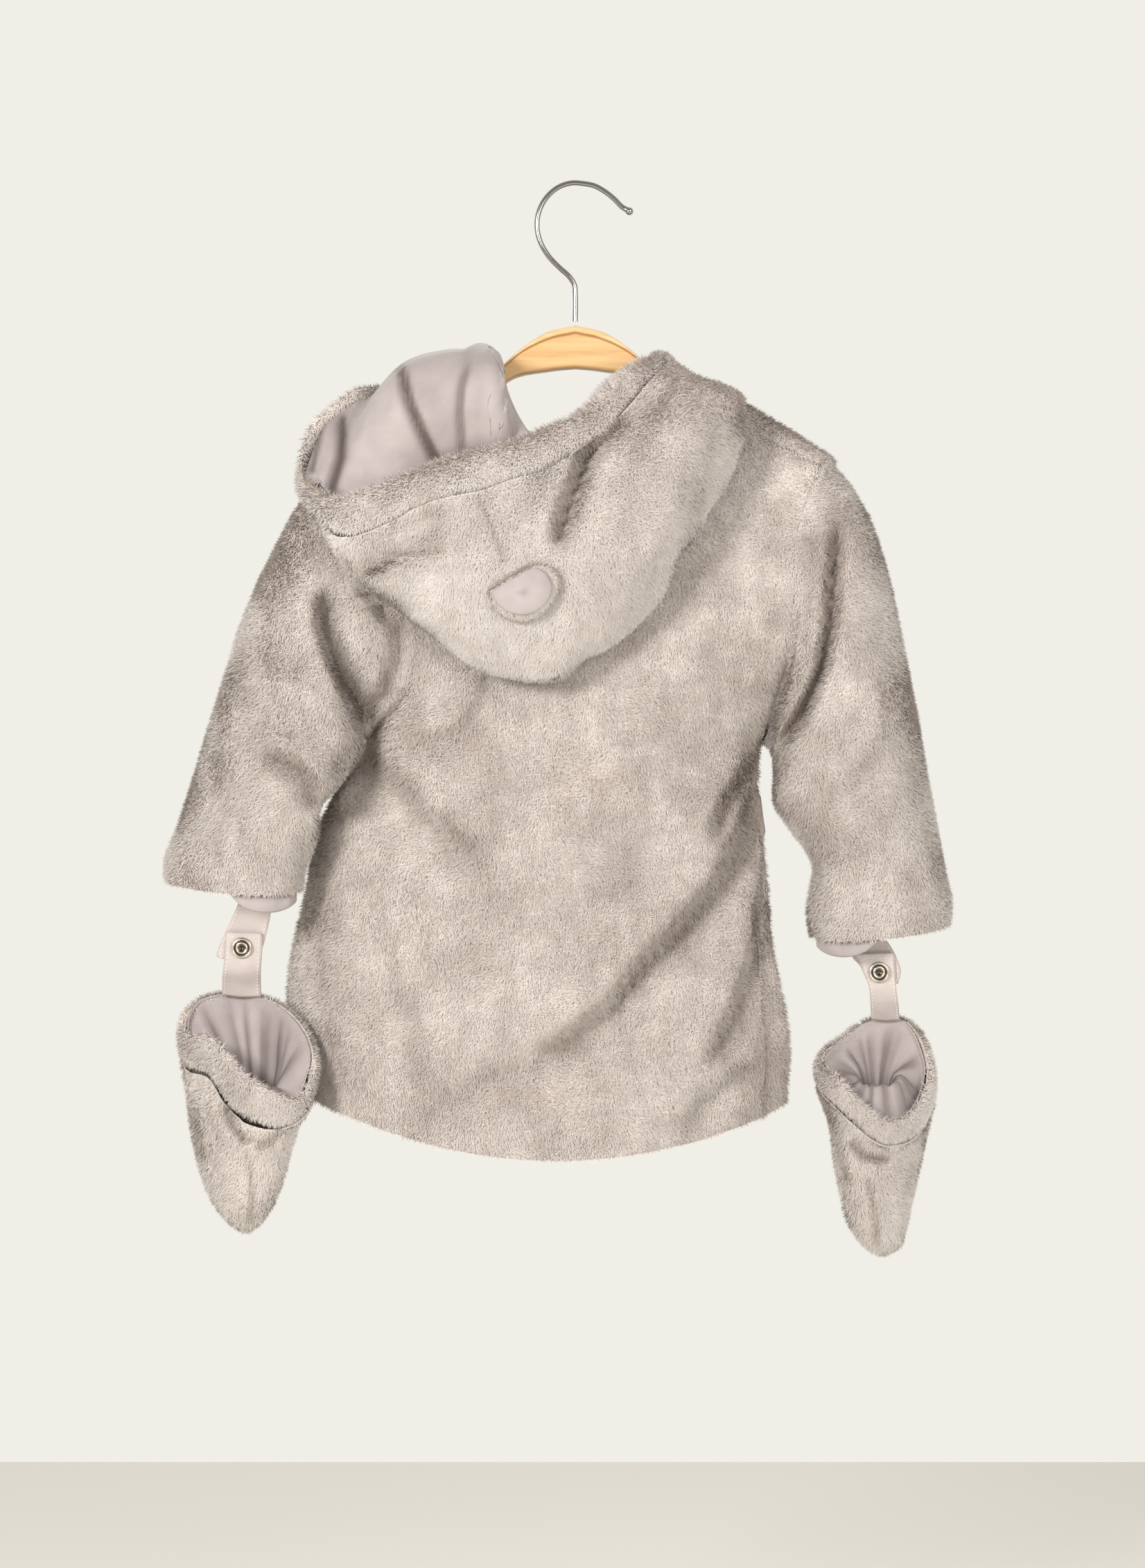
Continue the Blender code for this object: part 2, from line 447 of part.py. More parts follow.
def shared_normals(sheets):
    """Outward normals of each sheet's points, shared where sheets meet at a seam."""
    found, totals = {}, {}
    for name, points in sheets.items():
        across = points[1:, 1:] - points[:-1, :-1]
        along = points[:-1, 1:] - points[1:, :-1]
        face = np.cross(along, across)
        normal = np.zeros(points.shape)
        for rows in (slice(0, -1), slice(1, None)):
            for columns in (slice(0, -1), slice(1, None)):
                normal[rows, columns] += face
        found[name] = normal
        for key, value in zip(keys_of(points), normal.reshape(-1, 3)):
            totals[key] = totals.get(key, 0) + value
    for name, points in sheets.items():
        normal = np.array([totals[key] for key in keys_of(points)]).reshape(points.shape)
        found[name] = normal / np.maximum(np.linalg.norm(normal, axis=-1, keepdims=True), 1e-12)
    return found


def keys_of(points):
    return [tuple(key) for key in np.round(points.reshape(-1, 3) / (0.01 * MM)).astype(int)]


def draw_in(points, inset, ring=False):
    """Shrink a sheet at its edges along itself, which leaves the gap at the seams."""
    moved = points.copy()
    edges = [(np.s_[0, :], np.s_[1, :]), (np.s_[-1, :], np.s_[-2, :])]
    if not ring:
        edges += [(np.s_[:, 0], np.s_[:, 1]), (np.s_[:, -1], np.s_[:, -2])]
    for edge, inner in edges:
        way = points[inner] - points[edge]
        length = np.maximum(np.linalg.norm(way, axis=-1, keepdims=True), 1e-9)
        moved[edge] += way * np.minimum(inset / length, 0.4)
    return moved


def wall(points, normals, seam_cells, ring=False):
    """The inner side of a plush sheet, thinner at its seams and where it is gathered."""
    lines, across = np.indices(points.shape[:2])
    away = np.minimum(lines, points.shape[0] - 1 - lines)
    if not ring:
        away = np.minimum(away, np.minimum(across, points.shape[1] - 1 - across))
    thick = PLUSH * (SEAM_SHARE + (1 - SEAM_SHARE) * ease(away / seam_cells))
    spread = np.full(points.shape[:2], PLUSH)
    for axis in (0,) if ring else (0, 1):
        cell = np.linalg.norm(np.diff(points, axis=axis), axis=-1)
        for part in (slice(None, -1), slice(1, None)):
            at = (part, slice(None)) if axis == 0 else (slice(None), part)
            spread[at] = np.minimum(spread[at], cell)
    thick = np.where(away < GATHERED, np.minimum(thick, np.maximum(THINNEST, CREASED * spread)), thick)
    return points - thick[..., None] * normals


def even_pairs(table, cells, closed=False):
    """Pairs of edge points at even distances along a strip that a table gives by such pairs."""
    table = np.array(table, float)
    first, last = 0, len(table) - 1
    if closed:
        table = np.concatenate([table[-1:], table, table[:2]])
        first, last = 1, last + 2
    knots = np.arange(len(table))
    fine = np.linspace(first, last, 20 * len(table))
    middle = through(knots, table, fine).mean(axis=1)
    length = np.r_[0, np.cumsum(np.linalg.norm(np.diff(middle, axis=0), axis=1))]
    at = np.interp(np.linspace(0, length[-1], cells + 1), length, fine)
    pairs = through(knots, table, at[:-1] if closed else at)
    return pairs[:, 0], pairs[:, 1], (at[:-1] if closed else at) - first


# ---- objects ---------------------------------------------------------------------------------

def clear_scene():
    for thing in list(bpy.data.objects):
        bpy.data.objects.remove(thing, do_unlink=True)


def keep(name, data, look):
    """An object with its own material, whose look is its colour, roughness and metallic value."""
    made = bpy.data.materials.new(name)
    made.use_nodes = True
    shader = made.node_tree.nodes["Principled BSDF"]
    colour, roughness, metallic = look
    shader.inputs["Base Color"].default_value = (*colour, 1)
    shader.inputs["Roughness"].default_value = roughness
    shader.inputs["Metallic"].default_value = metallic
    data.materials.append(made)
    thing = bpy.data.objects.new(name, data)
    PARTS.objects.link(thing)
    return thing


def finish_mesh(name, body, look):
    bmesh.ops.recalc_face_normals(body, faces=body.faces)
    mesh = bpy.data.meshes.new(name)
    body.to_mesh(mesh)
    body.free()
    mesh.shade_smooth()
    return keep(name, mesh, look)


def sheet_solid(name, outer, inner, look):
    """A wall between two grids of points."""
    rows, columns = outer.shape[:2]
    body = bmesh.new()
    front = [[body.verts.new(p) for p in line] for line in outer]
    back = [[body.verts.new(p) for p in line] for line in inner]
    for r in range(rows - 1):
        for c in range(columns - 1):
            body.faces.new((front[r][c], front[r][c + 1], front[r + 1][c + 1], front[r + 1][c]))
            body.faces.new((back[r][c], back[r + 1][c], back[r + 1][c + 1], back[r][c + 1]))
        body.faces.new((front[r][0], front[r + 1][0], back[r + 1][0], back[r][0]))
        body.faces.new((front[r + 1][-1], front[r][-1], back[r][-1], back[r + 1][-1]))
    for c in range(columns - 1):
        body.faces.new((front[0][c + 1], front[0][c], back[0][c], back[0][c + 1]))
        body.faces.new((front[-1][c], front[-1][c + 1], back[-1][c + 1], back[-1][c]))
    return finish_mesh(name, body, look)


def loft(name, loops, look, joined=False):
    """A body through loops of points; joined makes it a ring, else both its ends are capped."""
    body = bmesh.new()
    rings = [[body.verts.new(p) for p in loop] for loop in loops]
    count = len(rings[0])
    for one, two in list(zip(rings, rings[1:])) + ([(rings[-1], rings[0])] if joined else []):
        for i in range(count):
            j = (i + 1) % count
            body.faces.new((one[i], one[j], two[j], two[i]))
    if not joined:
        body.faces.new(rings[0][::-1])
        body.faces.new(rings[-1])
    return finish_mesh(name, body, look)


def ribbon(name, table, cells, thick, look):
    """A flat strap through pairs of edge points that run downwards."""
    left, right, _ = even_pairs(table, cells)
    share = np.linspace(0, 1, 4)[:, None]
    points = place(left[:, None] + (right - left)[:, None] * share)[::-1]
    normals = shared_normals({name: points})[name]
    return sheet_solid(name, points, points - thick * normals, look)


def roll_loops(tops, bottoms, thick, sides, closed=False):
    """Rounded sections of a roll whose outer face runs between its top and bottom edge.

    thick is one thickness or one for each section."""
    middle, height = (tops + bottoms) / 2, tops - bottoms
    way = np.roll(middle, -1, axis=0) - np.roll(middle, 1, axis=0) if closed else np.gradient(middle, axis=0)
    out = np.cross(height, way)
    out /= np.linalg.norm(out, axis=1, keepdims=True)
    angle = 2 * np.pi * np.arange(sides) / sides
    up = (np.sign(np.cos(angle)) * np.abs(np.cos(angle)) ** ROUNDING)[:, None] / 2
    off = ((np.sign(np.sin(angle)) * np.abs(np.sin(angle)) ** ROUNDING)[:, None] - 1) / 2
    depth = (out * np.broadcast_to(thick, len(out))[:, None])[:, None]
    down = np.cross(out, way)
    down /= np.linalg.norm(down, axis=1, keepdims=True)
    return middle[:, None] + height[:, None] * ROLL_FILL * up + depth * off, out, down


def narrowed(loops, shares):
    """The loops with a rounded end at each side, where they shrink to the given shares."""
    count = len(shares)
    for end in (slice(0, count), slice(-1, -1 - count, -1)):
        part = loops[end]
        middle = part.mean(axis=1, keepdims=True)
        loops[end] = middle + (part - middle) * np.array(shares)[:, None, None]
    return loops


def laid_on(tree, loop, lift):
    """A loop of grid points laid on a surface as seen from EYE, lifted towards it by mm."""
    laid = []
    for column, row in loop:
        way = seen(column, row, 0) - EYE
        hit = tree.ray_cast(EYE.tolist(), way.tolist())[0]
        laid.append(seen(column, row, hit[1] / MM - lift))
    return np.array(laid)


def tree_of(points):
    """A search tree of a sheet's faces."""
    rows, columns = points.shape[:2]
    index = np.arange(rows * columns).reshape(rows, columns)
    faces = np.stack([index[:-1, :-1], index[:-1, 1:], index[1:, 1:], index[1:, :-1]], axis=-1)
    return BVHTree.FromPolygons(points.reshape(-1, 3).tolist(), faces.reshape(-1, 4).tolist())


def pad(name, outline, levels, tree, look):
    """A domed pad on a surface: its outline shrinks and rises over the given levels."""
    outline = spaced(outline, 18)[:-1]
    middle = outline.mean(axis=0)
    loops = np.array([laid_on(tree, middle + (outline - middle) * share, lift) for share, lift in levels])
    loft(name, loops, look)
    top = np.broadcast_to(loops[-1].mean(axis=0), loops[-1:].shape)
    face = np.concatenate([loops[len(levels) // 2:], top])
    return tree_of(np.concatenate([face, face[:, :1]], axis=1))


# ---- the coat's sheets -----------------------------------------------------------------------

def row_lines(table, cells):
    """Even rows between the left and right edges of a table, as points on the grid."""
    left = spaced([r[0] for r in table], cells)
    right = spaced([r[1] for r in table], cells)
    share = np.linspace(0, len(table) - 1, cells + 1)
    middle = through(np.arange(len(table)), [float(r[2]) for r in table], share)
    return left, right, middle


def back_sheet():
    """The back: rows from hem to shoulders, from the left edge to the right one, on the grid."""
    low_left, low_right, low_middle = row_lines([r[1:4] for r in BODY_LOW], BODY_LOW_ROWS)
    high_left, high_right, high_middle = row_lines(ARMHOLE_BACK, ARMHOLE_ROWS)
    left = np.concatenate([low_left, high_left[1:]])
    right = np.concatenate([low_right, high_right[1:]])
    middle = np.concatenate([low_middle, high_middle[1:]])
    top = np.concatenate([spaced(SHOULDER_LEFT, SHOULDER_CELLS), spaced(NECK_BACK, NECK_CELLS)[1:],
                          spaced(SHOULDER_RIGHT, SHOULDER_CELLS)[::-1][1:]])
    cells = len(top) - 1
    low_share = (1 - np.cos(np.pi * np.linspace(0, 1, cells + 1))) / 2
    top_share = (top[:, 0] - top[0, 0]) / (top[-1, 0] - top[0, 0])
    rise = np.clip((np.arange(len(left)) - BODY_LOW_ROWS) / ARMHOLE_ROWS, 0, 1)
    fall = np.clip(1 - np.arange(len(left)) / BODY_LOW_ROWS, 0, 1)
    share = low_share + ease(rise)[:, None] * (top_share - low_share)
    points = left[:, None] + (right - left)[:, None] * share[..., None]
    hollow = swell(share, 1.8)
    points[..., 2] += (middle[:, None] - points[..., 2]) * hollow
    points[..., 1] += HEM_MIDDLE * (fall ** 2)[:, None] * 4 * share * (1 - share)
    points += (rise ** 2)[:, None, None] * (top - points[-1])
    return points


def front_sheet(side):
    """One front: rows from hem to shoulder seam, from its side seam to its edge past the centre."""
    pick, sign, shoulder, neck = ((0, 1, SHOULDER_LEFT, NECK_FRONT_LEFT) if side == "left"
                                  else (1, -1, SHOULDER_RIGHT, NECK_FRONT_RIGHT))
    low = row_lines([r[1:3] + (r[4],) for r in BODY_LOW], BODY_LOW_ROWS)
    high = row_lines(ARMHOLE_FRONT[:-3], ARMHOLE_ROWS - OVER_ROWS)
    seam = np.concatenate([low[pick], high[pick][1:]])
    depth = np.concatenate([low[2], high[2][1:]]) + sign * LAP_DEPTH
    rise = np.clip((np.arange(len(seam)) - BODY_LOW_ROWS) / (ARMHOLE_ROWS - OVER_ROWS), 0, 1)
    fall = np.clip(1 - np.arange(len(seam)) / BODY_LOW_ROWS, 0, 1)
    ridge, crest, over, top = over_shoulder(pick, sign, shoulder, neck)
    even = np.linspace(0, 1, len(top))
    low_share = 1 - np.cos(np.pi / 2 * even)
    top_share = (top[:, 0] - top[0, 0]) / (top[-1, 0] - top[0, 0])
    share = low_share + ease(rise)[:, None] * (top_share - low_share)
    points = np.repeat(seam[:, None], len(top), axis=1)
    points[..., 0] += (CENTRE_COLUMN + sign * LAP - seam[:, 0])[:, None] * share
    hollow = (1 - (1 - share) ** 1.8) ** (1 / 1.8)
    points[..., 2] += (depth - seam[:, 2])[:, None] * hollow
    out = np.exp(-((even - 0.16) / 0.14) ** 2) * ease(even / 0.1)
    points[..., 0] += SIDE_TURN[pick][0] * ease(fall * 1.1)[:, None] * out
    points[..., 1] += SIDE_TURN[pick][1] * ease(fall * 1.1)[:, None] * out
    points[..., 1] += HEM_FRONT * (fall ** 2)[:, None] * (1 - (1 - share) ** 2)
    points += (rise ** 2)[:, None, None] * (over - points[-1])
    turn = through(range(4), np.array([over, crest, ridge, top]), np.linspace(0, 3, OVER_ROWS + 1))
    return np.concatenate([points, turn[1:]])


def over_shoulder(pick, sign, shoulder, neck):
    """The rows on which a front turns over the shoulder: ridge, crest, over, and its top edge."""
    neck_side = np.concatenate([neck[:NECK_TURN], spaced(neck[NECK_TURN:], FRONT_CELLS - NECK_TURN)])
    top = np.concatenate([spaced(shoulder, SHOULDER_CELLS), neck_side[1:]])
    count = np.arange(len(top))
    rise = np.interp(count / SHOULDER_CELLS, *np.array(SHOULDER_RISE[pick]).T)
    aside = np.where(count == SHOULDER_CELLS, -15.0 * sign, 0)
    on, at_crest = (count <= SHOULDER_CELLS)[:, None], (count == SHOULDER_CELLS + 1)[:, None]
    made = []
    for place_on, (rows, forward, crest_row, crest_forward, neck_row, neck_forward) in enumerate(TURN_ROWS):
        line = top + np.where(on, np.stack([aside, rows - rise, forward + 0 * rise], axis=1),
                              np.where(at_crest, (0, crest_row, crest_forward), (0, neck_row, neck_forward)))
        line[0] = ARMHOLE_FRONT[-2 - place_on][pick]
        made.append(line)
    return *made, top


def sleeve_sheet(table, seam_behind, seam_front, dip):
    """A sleeve: rows from the armhole to the cuff, and round from the shoulder behind to the front."""
    cells = len(seam_behind) - 1
    share = (1 - np.cos(np.pi * np.linspace(0, 1, cells + 1))) / 2
    loops = [np.concatenate([seam_behind[::-1], seam_front[1:]])]
    for place_on, (outer, inner, behind, ahead) in enumerate(table):
        line = np.array(outer, float) + np.outer(share, np.subtract(inner, outer))
        near, far = line.copy(), line.copy()
        near[:, 2] -= behind * swell(share, 2.2)
        far[:, 2] += ahead * swell(share, 2.2)
        drop = dip * (place_on / (len(table) - 1)) ** 3
        near[:, 1] += drop * swell(share)
        far[:, 1] -= drop * swell(share)
        loops.append(np.concatenate([near, far[::-1][1:]]))
    loops = np.array(loops)
    gaps = np.linalg.norm(np.diff(loops, axis=0), axis=2).mean(axis=1)
    knots = np.r_[0, np.cumsum(gaps)]
    return through(knots, loops, np.linspace(0, knots[-1], SLEEVE_ROWS + 1))


def hood_sheet():
    """The hood's bag: rows along each section, from the rim seam to the end, columns from the left."""
    table = np.array(HOOD, float)
    columns = through(np.arange(len(table)), table, np.linspace(0, len(table) - 1, HOOD_ACROSS + 1))
    return np.array([spaced(section, HOOD_ALONG) for section in columns]).transpose(1, 0, 2)


def make_coat():
    """The body, sleeves and cuff linings."""
    back = back_sheet()
    fronts = {side: front_sheet(side) for side in ("left", "right")}
    armhole = back[BODY_LOW_ROWS:]
    sheets = {
        "back": place(back),
        "front_left": place(fronts["left"])[:, ::-1],
        "front_right": place(fronts["right"]),
        "sleeve_left": place(sleeve_sheet(SLEEVE_LEFT, armhole[:, 0], fronts["left"][BODY_LOW_ROWS:, 0],
                                          CUFF_DIP[0]))[:, ::-1],
        "sleeve_right": place(sleeve_sheet(SLEEVE_RIGHT, armhole[:, -1], fronts["right"][BODY_LOW_ROWS:, 0],
                                           CUFF_DIP[1])),
    }
    bend_sheets(sheets, BACK_FOLDS + SLEEVE_FOLDS, FRONT_FOLDS + SLEEVE_BACK_FOLDS)
    normals = shared_normals(sheets)
    for name, points in sheets.items():
        tube = name.startswith("sleeve")
        outer = draw_in(points, (2.4 if tube else 0.9) * GAP, ring=tube)
        inner = draw_in(wall(outer, normals[name], SEAM_CELLS, ring=tube), 4 * GAP, ring=tube)
        if tube:
            loft(name, np.concatenate([outer, inner[::-1]])[:, :-1], PLUSH_LOOK, joined=True)
            make_cuff_lining(name.removeprefix("sleeve_"), outer, normals[name])
        else:
            sheet_solid(name, outer, inner, PLUSH_LOOK)


def make_cuff_lining(side, sleeve, normals):
    """The sleeve's lining at the cuff, which hangs out of it on the inner side."""
    middle, half, rows = CUFF_BULGE[side]
    outer = sleeve[-3:] - (PLUSH + GAP) * normals[-3:]
    low = outer[-1].copy()
    column, _ = on_grid(low)
    near = normals[-1, :, 1] < 0.2
    low[:, 2] -= rows * np.clip(1 - ((column - middle) / half) ** 2, 0, 1) * near * STEP
    outer[-1, :, 2] += CUFF_INSIDE * STEP
    outer = np.concatenate([outer, low[None]])
    way = outer[:, :-1].mean(axis=1)[:, None] - outer
    inner = outer + LINING * way / np.linalg.norm(way, axis=-1, keepdims=True)
    loft("cuff_lining_" + side, np.concatenate([outer, inner[::-1]])[:, :-1], LINING_LOOK, joined=True)


def make_hood():
    """The hood's three panels, band, lining and ear."""
    points = place(hood_sheet())[:, ::-1]
    column, row = on_grid(points)
    behind = np.clip(-1.6 * shared_normals({"hood": points})["hood"][..., 1], 0, 1)
    points[..., 1] -= behind * fold_height(HOOD_FOLDS, column, row)
    normals = shared_normals({"hood": points})["hood"]
    seam = HOOD_ACROSS - SEAM_SECTION * HOOD_ACROSS // (len(HOOD) - 1)
    panels = {"hood_side_right": np.s_[:, :seam + 1], "hood_gusset": np.s_[:SEAM_ROW + 1, seam:],
              "hood_side_left": np.s_[SEAM_ROW:, seam:]}
    for name, panel in panels.items():
        outer = draw_in(points[panel], 0.6 * GAP)
        sheet_solid(name, outer, wall(outer, normals[panel], 2 * SEAM_CELLS), PLUSH_LOOK)
    lined = np.s_[LINED[0]:LINED[1], LINED[2]:LINED[3]]
    outer = points[lined] - (PLUSH + GAP) * normals[lined]
    sheet_solid("hood_lining", outer, outer - LINING * normals[lined], LINING_LOOK)
    tops, bottoms, at = even_pairs([pair[:2] for pair in BAND], BAND_CELLS)
    thick = np.interp(at, range(len(BAND)), [pair[2] * MM for pair in BAND])
    loops = roll_loops(place(tops), place(bottoms), thick, BAND_SIDES)[0]
    loft("hood_band", narrowed(loops, (0.55, 0.9)), PLUSH_LOOK)
    tree = pad("ear", EAR, EAR_LOOPS, tree_of(points), PLUSH_LOOK)
    pad("ear_inner", EAR_INNER, EAR_INNER_LOOPS, tree, LINING_LOOK)


def make_mitten(side):
    """A mitten with its roll, gathered lining, strap and snap."""
    tops, bottoms, _ = even_pairs(MITTEN_ROLLS[side], 2 * MITTEN_CELLS, closed=True)
    tops, bottoms = place(tops[::-1]), place(bottoms[::-1])
    loops, out, down = roll_loops(tops, bottoms, ROLL_THICK, ROLL_SIDES, closed=True)
    loft("mitten_cuff_" + side, loops, PLUSH_LOOK, joined=True)

    rim = (bottoms + ROLL_CLEAR * down)[::-1]
    rim = np.stack([*on_grid(rim), rim[:, 1] / MM], axis=1)
    mouth = np.concatenate([rim, rim[:1]])
    share = (1 - np.cos(np.pi * np.linspace(0, 1, MITTEN_CELLS + 1))) / 2
    sections = [mouth]
    for left, right, behind, ahead, dip_behind, dip_ahead in MITTENS[side]:
        line = np.array(left, float) + np.outer(share, np.subtract(right, left))
        near, far = line.copy(), line.copy()
        near[:, 2] -= behind * swell(share)
        far[:, 2] += ahead * swell(share)
        near[:, 1] += dip_behind * swell(share)
        far[:, 1] += dip_ahead * swell(share)
        sections.append(np.concatenate([near, far[::-1][1:]]))
    sections = np.array(sections)
    knots = np.r_[0, np.cumsum(np.linalg.norm(np.diff(sections, axis=0), axis=2).mean(axis=1))]
    outer = place(through(knots, sections, np.linspace(0, knots[-1], MITTEN_ROWS + 1)))[:, ::-1]
    normals = shared_normals({"mitten": outer})["mitten"]
    outer = draw_in(outer, 0.6 * GAP, ring=True)
    inner = wall(outer, normals, SEAM_CELLS, ring=True)[:-1]
    loft("mitten_" + side, np.concatenate([inner[::-1], outer])[:, :-1], PLUSH_LOOK)

    start = tops * 0.7 + bottoms * 0.3 - out * (ROLL_THICK + 3 * GAP)
    funnel = [start]
    for centre, wide, deep in FUNNELS[side]:
        middle = place(centre)
        angle = np.arctan2((start - start.mean(axis=0))[:, 1], (start - start.mean(axis=0))[:, 0])
        funnel.append(middle + MM * np.stack([wide * np.cos(angle), deep * np.sin(angle),
                                              0.4 * deep * np.sin(angle)], axis=1))
    outer = through(range(len(funnel)), np.array(funnel), np.linspace(0, len(funnel) - 1, FUNNEL_ROWS + 1))
    outer = np.concatenate([outer, outer[:, :1]], axis=1)
    normals = shared_normals({"funnel": outer})["funnel"]
    inner = outer - 0.7 * LINING * normals
    loft("mitten_lining_" + side, np.concatenate([outer, inner[::-1]])[:, :-1], LINING_LOOK, joined=True)

    ribbon("mitten_strap_" + side, MITTEN_STRAPS[side], 8, STRAP_THICK, LINING_LOOK)
    ribbon("sleeve_strap_" + side, SLEEVE_STRAPS[side], 8, STRAP_THICK, LINING_LOOK)
    make_snap(side)


def make_snap(side):
    """The ring snap that closes the two straps, with its back."""
    column, row = SNAPS[side]
    front = MITTEN_STRAPS[side][0][0][2] * MM
    bpy.ops.mesh.primitive_torus_add(major_radius=(SNAP_DIAMETER - SNAP_WIRE) / 2, minor_radius=SNAP_WIRE / 2,
                                     major_segments=16, minor_segments=6, rotation=(math.pi / 2, 0, 0))
    ring = bpy.context.object
    ring.location = seen(column, row, front / MM)
    ring.location.y = front - 2 * GAP - SNAP_WIRE / 2
    adopt(ring, "snap_" + side, SNAP_LOOK)
    behind = (SLEEVE_STRAPS[side][2][0][2] * MM) + STRAP_THICK + GAP
    bpy.ops.mesh.primitive_cylinder_add(vertices=14, radius=0.42 * SNAP_DIAMETER, depth=SNAP_WIRE / 2,
                                        rotation=(math.pi / 2, 0, 0))
    stud = bpy.context.object
    stud.location = seen(column, row, behind / MM)
    stud.location.y = behind + SNAP_WIRE / 4
    adopt(stud, "snap_back_" + side, SNAP_LOOK)


def adopt(thing, name, look):
    """Give a primitive its name, material and collection."""
    mesh, place_at, turned = thing.data, thing.location.copy(), thing.rotation_euler.copy()
    bpy.data.objects.remove(thing)
    mesh.name = name
    kept = keep(name, mesh, look)
    kept.location, kept.rotation_euler = place_at, turned


def make_hanger():
    """The arched wood, cut from a board, and the hook with its ball end."""
    right = np.concatenate([spaced(WOOD_TOP, WOOD_CELLS), spaced(WOOD_UNDER, WOOD_CELLS)])
    left = right[::-1][1:-1] * (-1, 1) + (2 * WOOD_MIDDLE, 0)
    outline = seen(*np.concatenate([right, left]).T, 0)
    way = np.roll(outline, -1, axis=0) - np.roll(outline, 1, axis=0)
    inward = np.stack([way[:, 2], 0 * way[:, 0], -way[:, 0]], axis=1)
    inward /= np.linalg.norm(inward, axis=1, keepdims=True)
    deep = np.array([0, WOOD_THICK / 2, 0])
    bevel = np.array([0, WOOD_BEVEL, 0])
    loft("hanger_wood", [outline - deep + WOOD_BEVEL * inward, outline - deep + bevel,
                         outline + deep - bevel, outline + deep + WOOD_BEVEL * inward], WOOD_LOOK)

    path = spaced([(*p, 0) for p in HOOK], HOOK_CELLS)
    spots, ball = place(path), BALL_DIAMETER / 2
    way = spots[0] - spots[1]
    way /= np.linalg.norm(way)
    turn = np.radians((12, 38, 64, 90, 116))
    spots = np.concatenate([spots[0] + way * (ball * np.cos(turn))[:, None], spots[2:]])
    sizes = np.concatenate([ball * np.sin(turn), np.full(len(spots) - len(turn), WIRE_DIAMETER / 2)])
    wire = bpy.data.curves.new("hanger_hook", "CURVE")
    wire.dimensions, wire.bevel_depth, wire.bevel_resolution = "3D", WIRE_DIAMETER / 2, 2
    wire.use_fill_caps = True
    spline = wire.splines.new("POLY")
    spline.points.add(len(spots) - 1)
    for point, spot, size in zip(spline.points, spots, sizes):
        point.co = (*spot, 1)
        point.radius = size / (WIRE_DIAMETER / 2)
    keep("hanger_hook", wire, CHROME_LOOK)


clear_scene()
PARTS = bpy.data.collections.new("short_coat")
bpy.context.scene.collection.children.link(PARTS)
make_coat()
make_hood()
make_mitten("left")
make_mitten("right")
make_hanger()
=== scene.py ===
"""Looks of the hooded short coat: its cloth, pile, linings, snaps, hanger, floor, light and camera.

The cloth repeats the solids' sections, in metres in their frame, at FINER cells and with sharper folds.
"""
import math

import bpy
import numpy as np
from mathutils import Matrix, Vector
from mathutils.bvhtree import BVHTree


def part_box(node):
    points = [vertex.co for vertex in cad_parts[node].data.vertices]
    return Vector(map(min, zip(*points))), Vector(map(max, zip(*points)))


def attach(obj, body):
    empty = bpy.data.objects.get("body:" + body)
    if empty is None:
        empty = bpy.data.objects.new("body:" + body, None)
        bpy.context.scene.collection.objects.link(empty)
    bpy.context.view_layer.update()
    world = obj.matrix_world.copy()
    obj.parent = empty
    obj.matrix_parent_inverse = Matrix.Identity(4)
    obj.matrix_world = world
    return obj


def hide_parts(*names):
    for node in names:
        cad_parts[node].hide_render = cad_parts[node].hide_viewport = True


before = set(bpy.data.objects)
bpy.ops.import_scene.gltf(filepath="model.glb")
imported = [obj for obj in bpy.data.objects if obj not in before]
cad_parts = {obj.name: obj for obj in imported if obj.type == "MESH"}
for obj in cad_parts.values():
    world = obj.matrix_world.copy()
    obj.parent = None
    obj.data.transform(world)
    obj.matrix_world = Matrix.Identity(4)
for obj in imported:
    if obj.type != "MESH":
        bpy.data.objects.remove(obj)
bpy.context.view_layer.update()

MM = 0.001

# Driving sizes
STEP = 0.4 * MM                   # one column or row of the grid on which the tables give their points
HOOK_COLUMN, HOOK_ROW = 842, 269  # the origin on that grid, at the hook's inside top
EYE = np.array([-6.4, -2200.0, -345.0]) * MM
PLUSH = 3.5 * MM                  # thickness of a plush wall
GAP = 0.3 * MM                    # between pieces that meet
WOOD_THICK = 12 * MM
WIRE_DIAMETER = 3.1 * MM
BALL_DIAMETER = 4.6 * MM
STRAP_THICK = 1.6 * MM

# How many cells each sheet has
BODY_LOW_ROWS, ARMHOLE_ROWS, OVER_ROWS = 14, 10, 3
SHOULDER_CELLS, NECK_CELLS, FRONT_CELLS = 5, 10, 6
SLEEVE_ROWS = 16
HOOD_ALONG, HOOD_ACROSS = 16, 32
SEAM_SECTION, SEAM_ROW = 6, 10    # the hood's section and row on which its two seams lie
HIGHEST = 13                      # no fold stands higher (mm)

# The body's rows: side seams as (column, row, depth), then the middle's depth behind and in front
BODY_LOW = (
    # row        left seam            right seam           back  front
    ("hem",      (430, 1578, 6),      (1104, 1612, -20),   -50,  44),
    ("flare",    (414, 1500, 6),      (1108, 1500, -26),   -50,  44),
    ("belly",    (412, 1430, 6),      (1101, 1440, -22),   -49,  43),
    ("waist",    (421, 1360, 6),      (1097, 1350, -8),    -48,  42),
    ("rib",      (438, 1290, 8),      (1101, 1250, 0),     -46,  41),
    ("chest",    (456, 1200, 8),      (1094, 1160, 0),     -44,  39),
    ("underarm", (528, 1066, -8),    (1099, 1075, 0),     -42,  37),
)
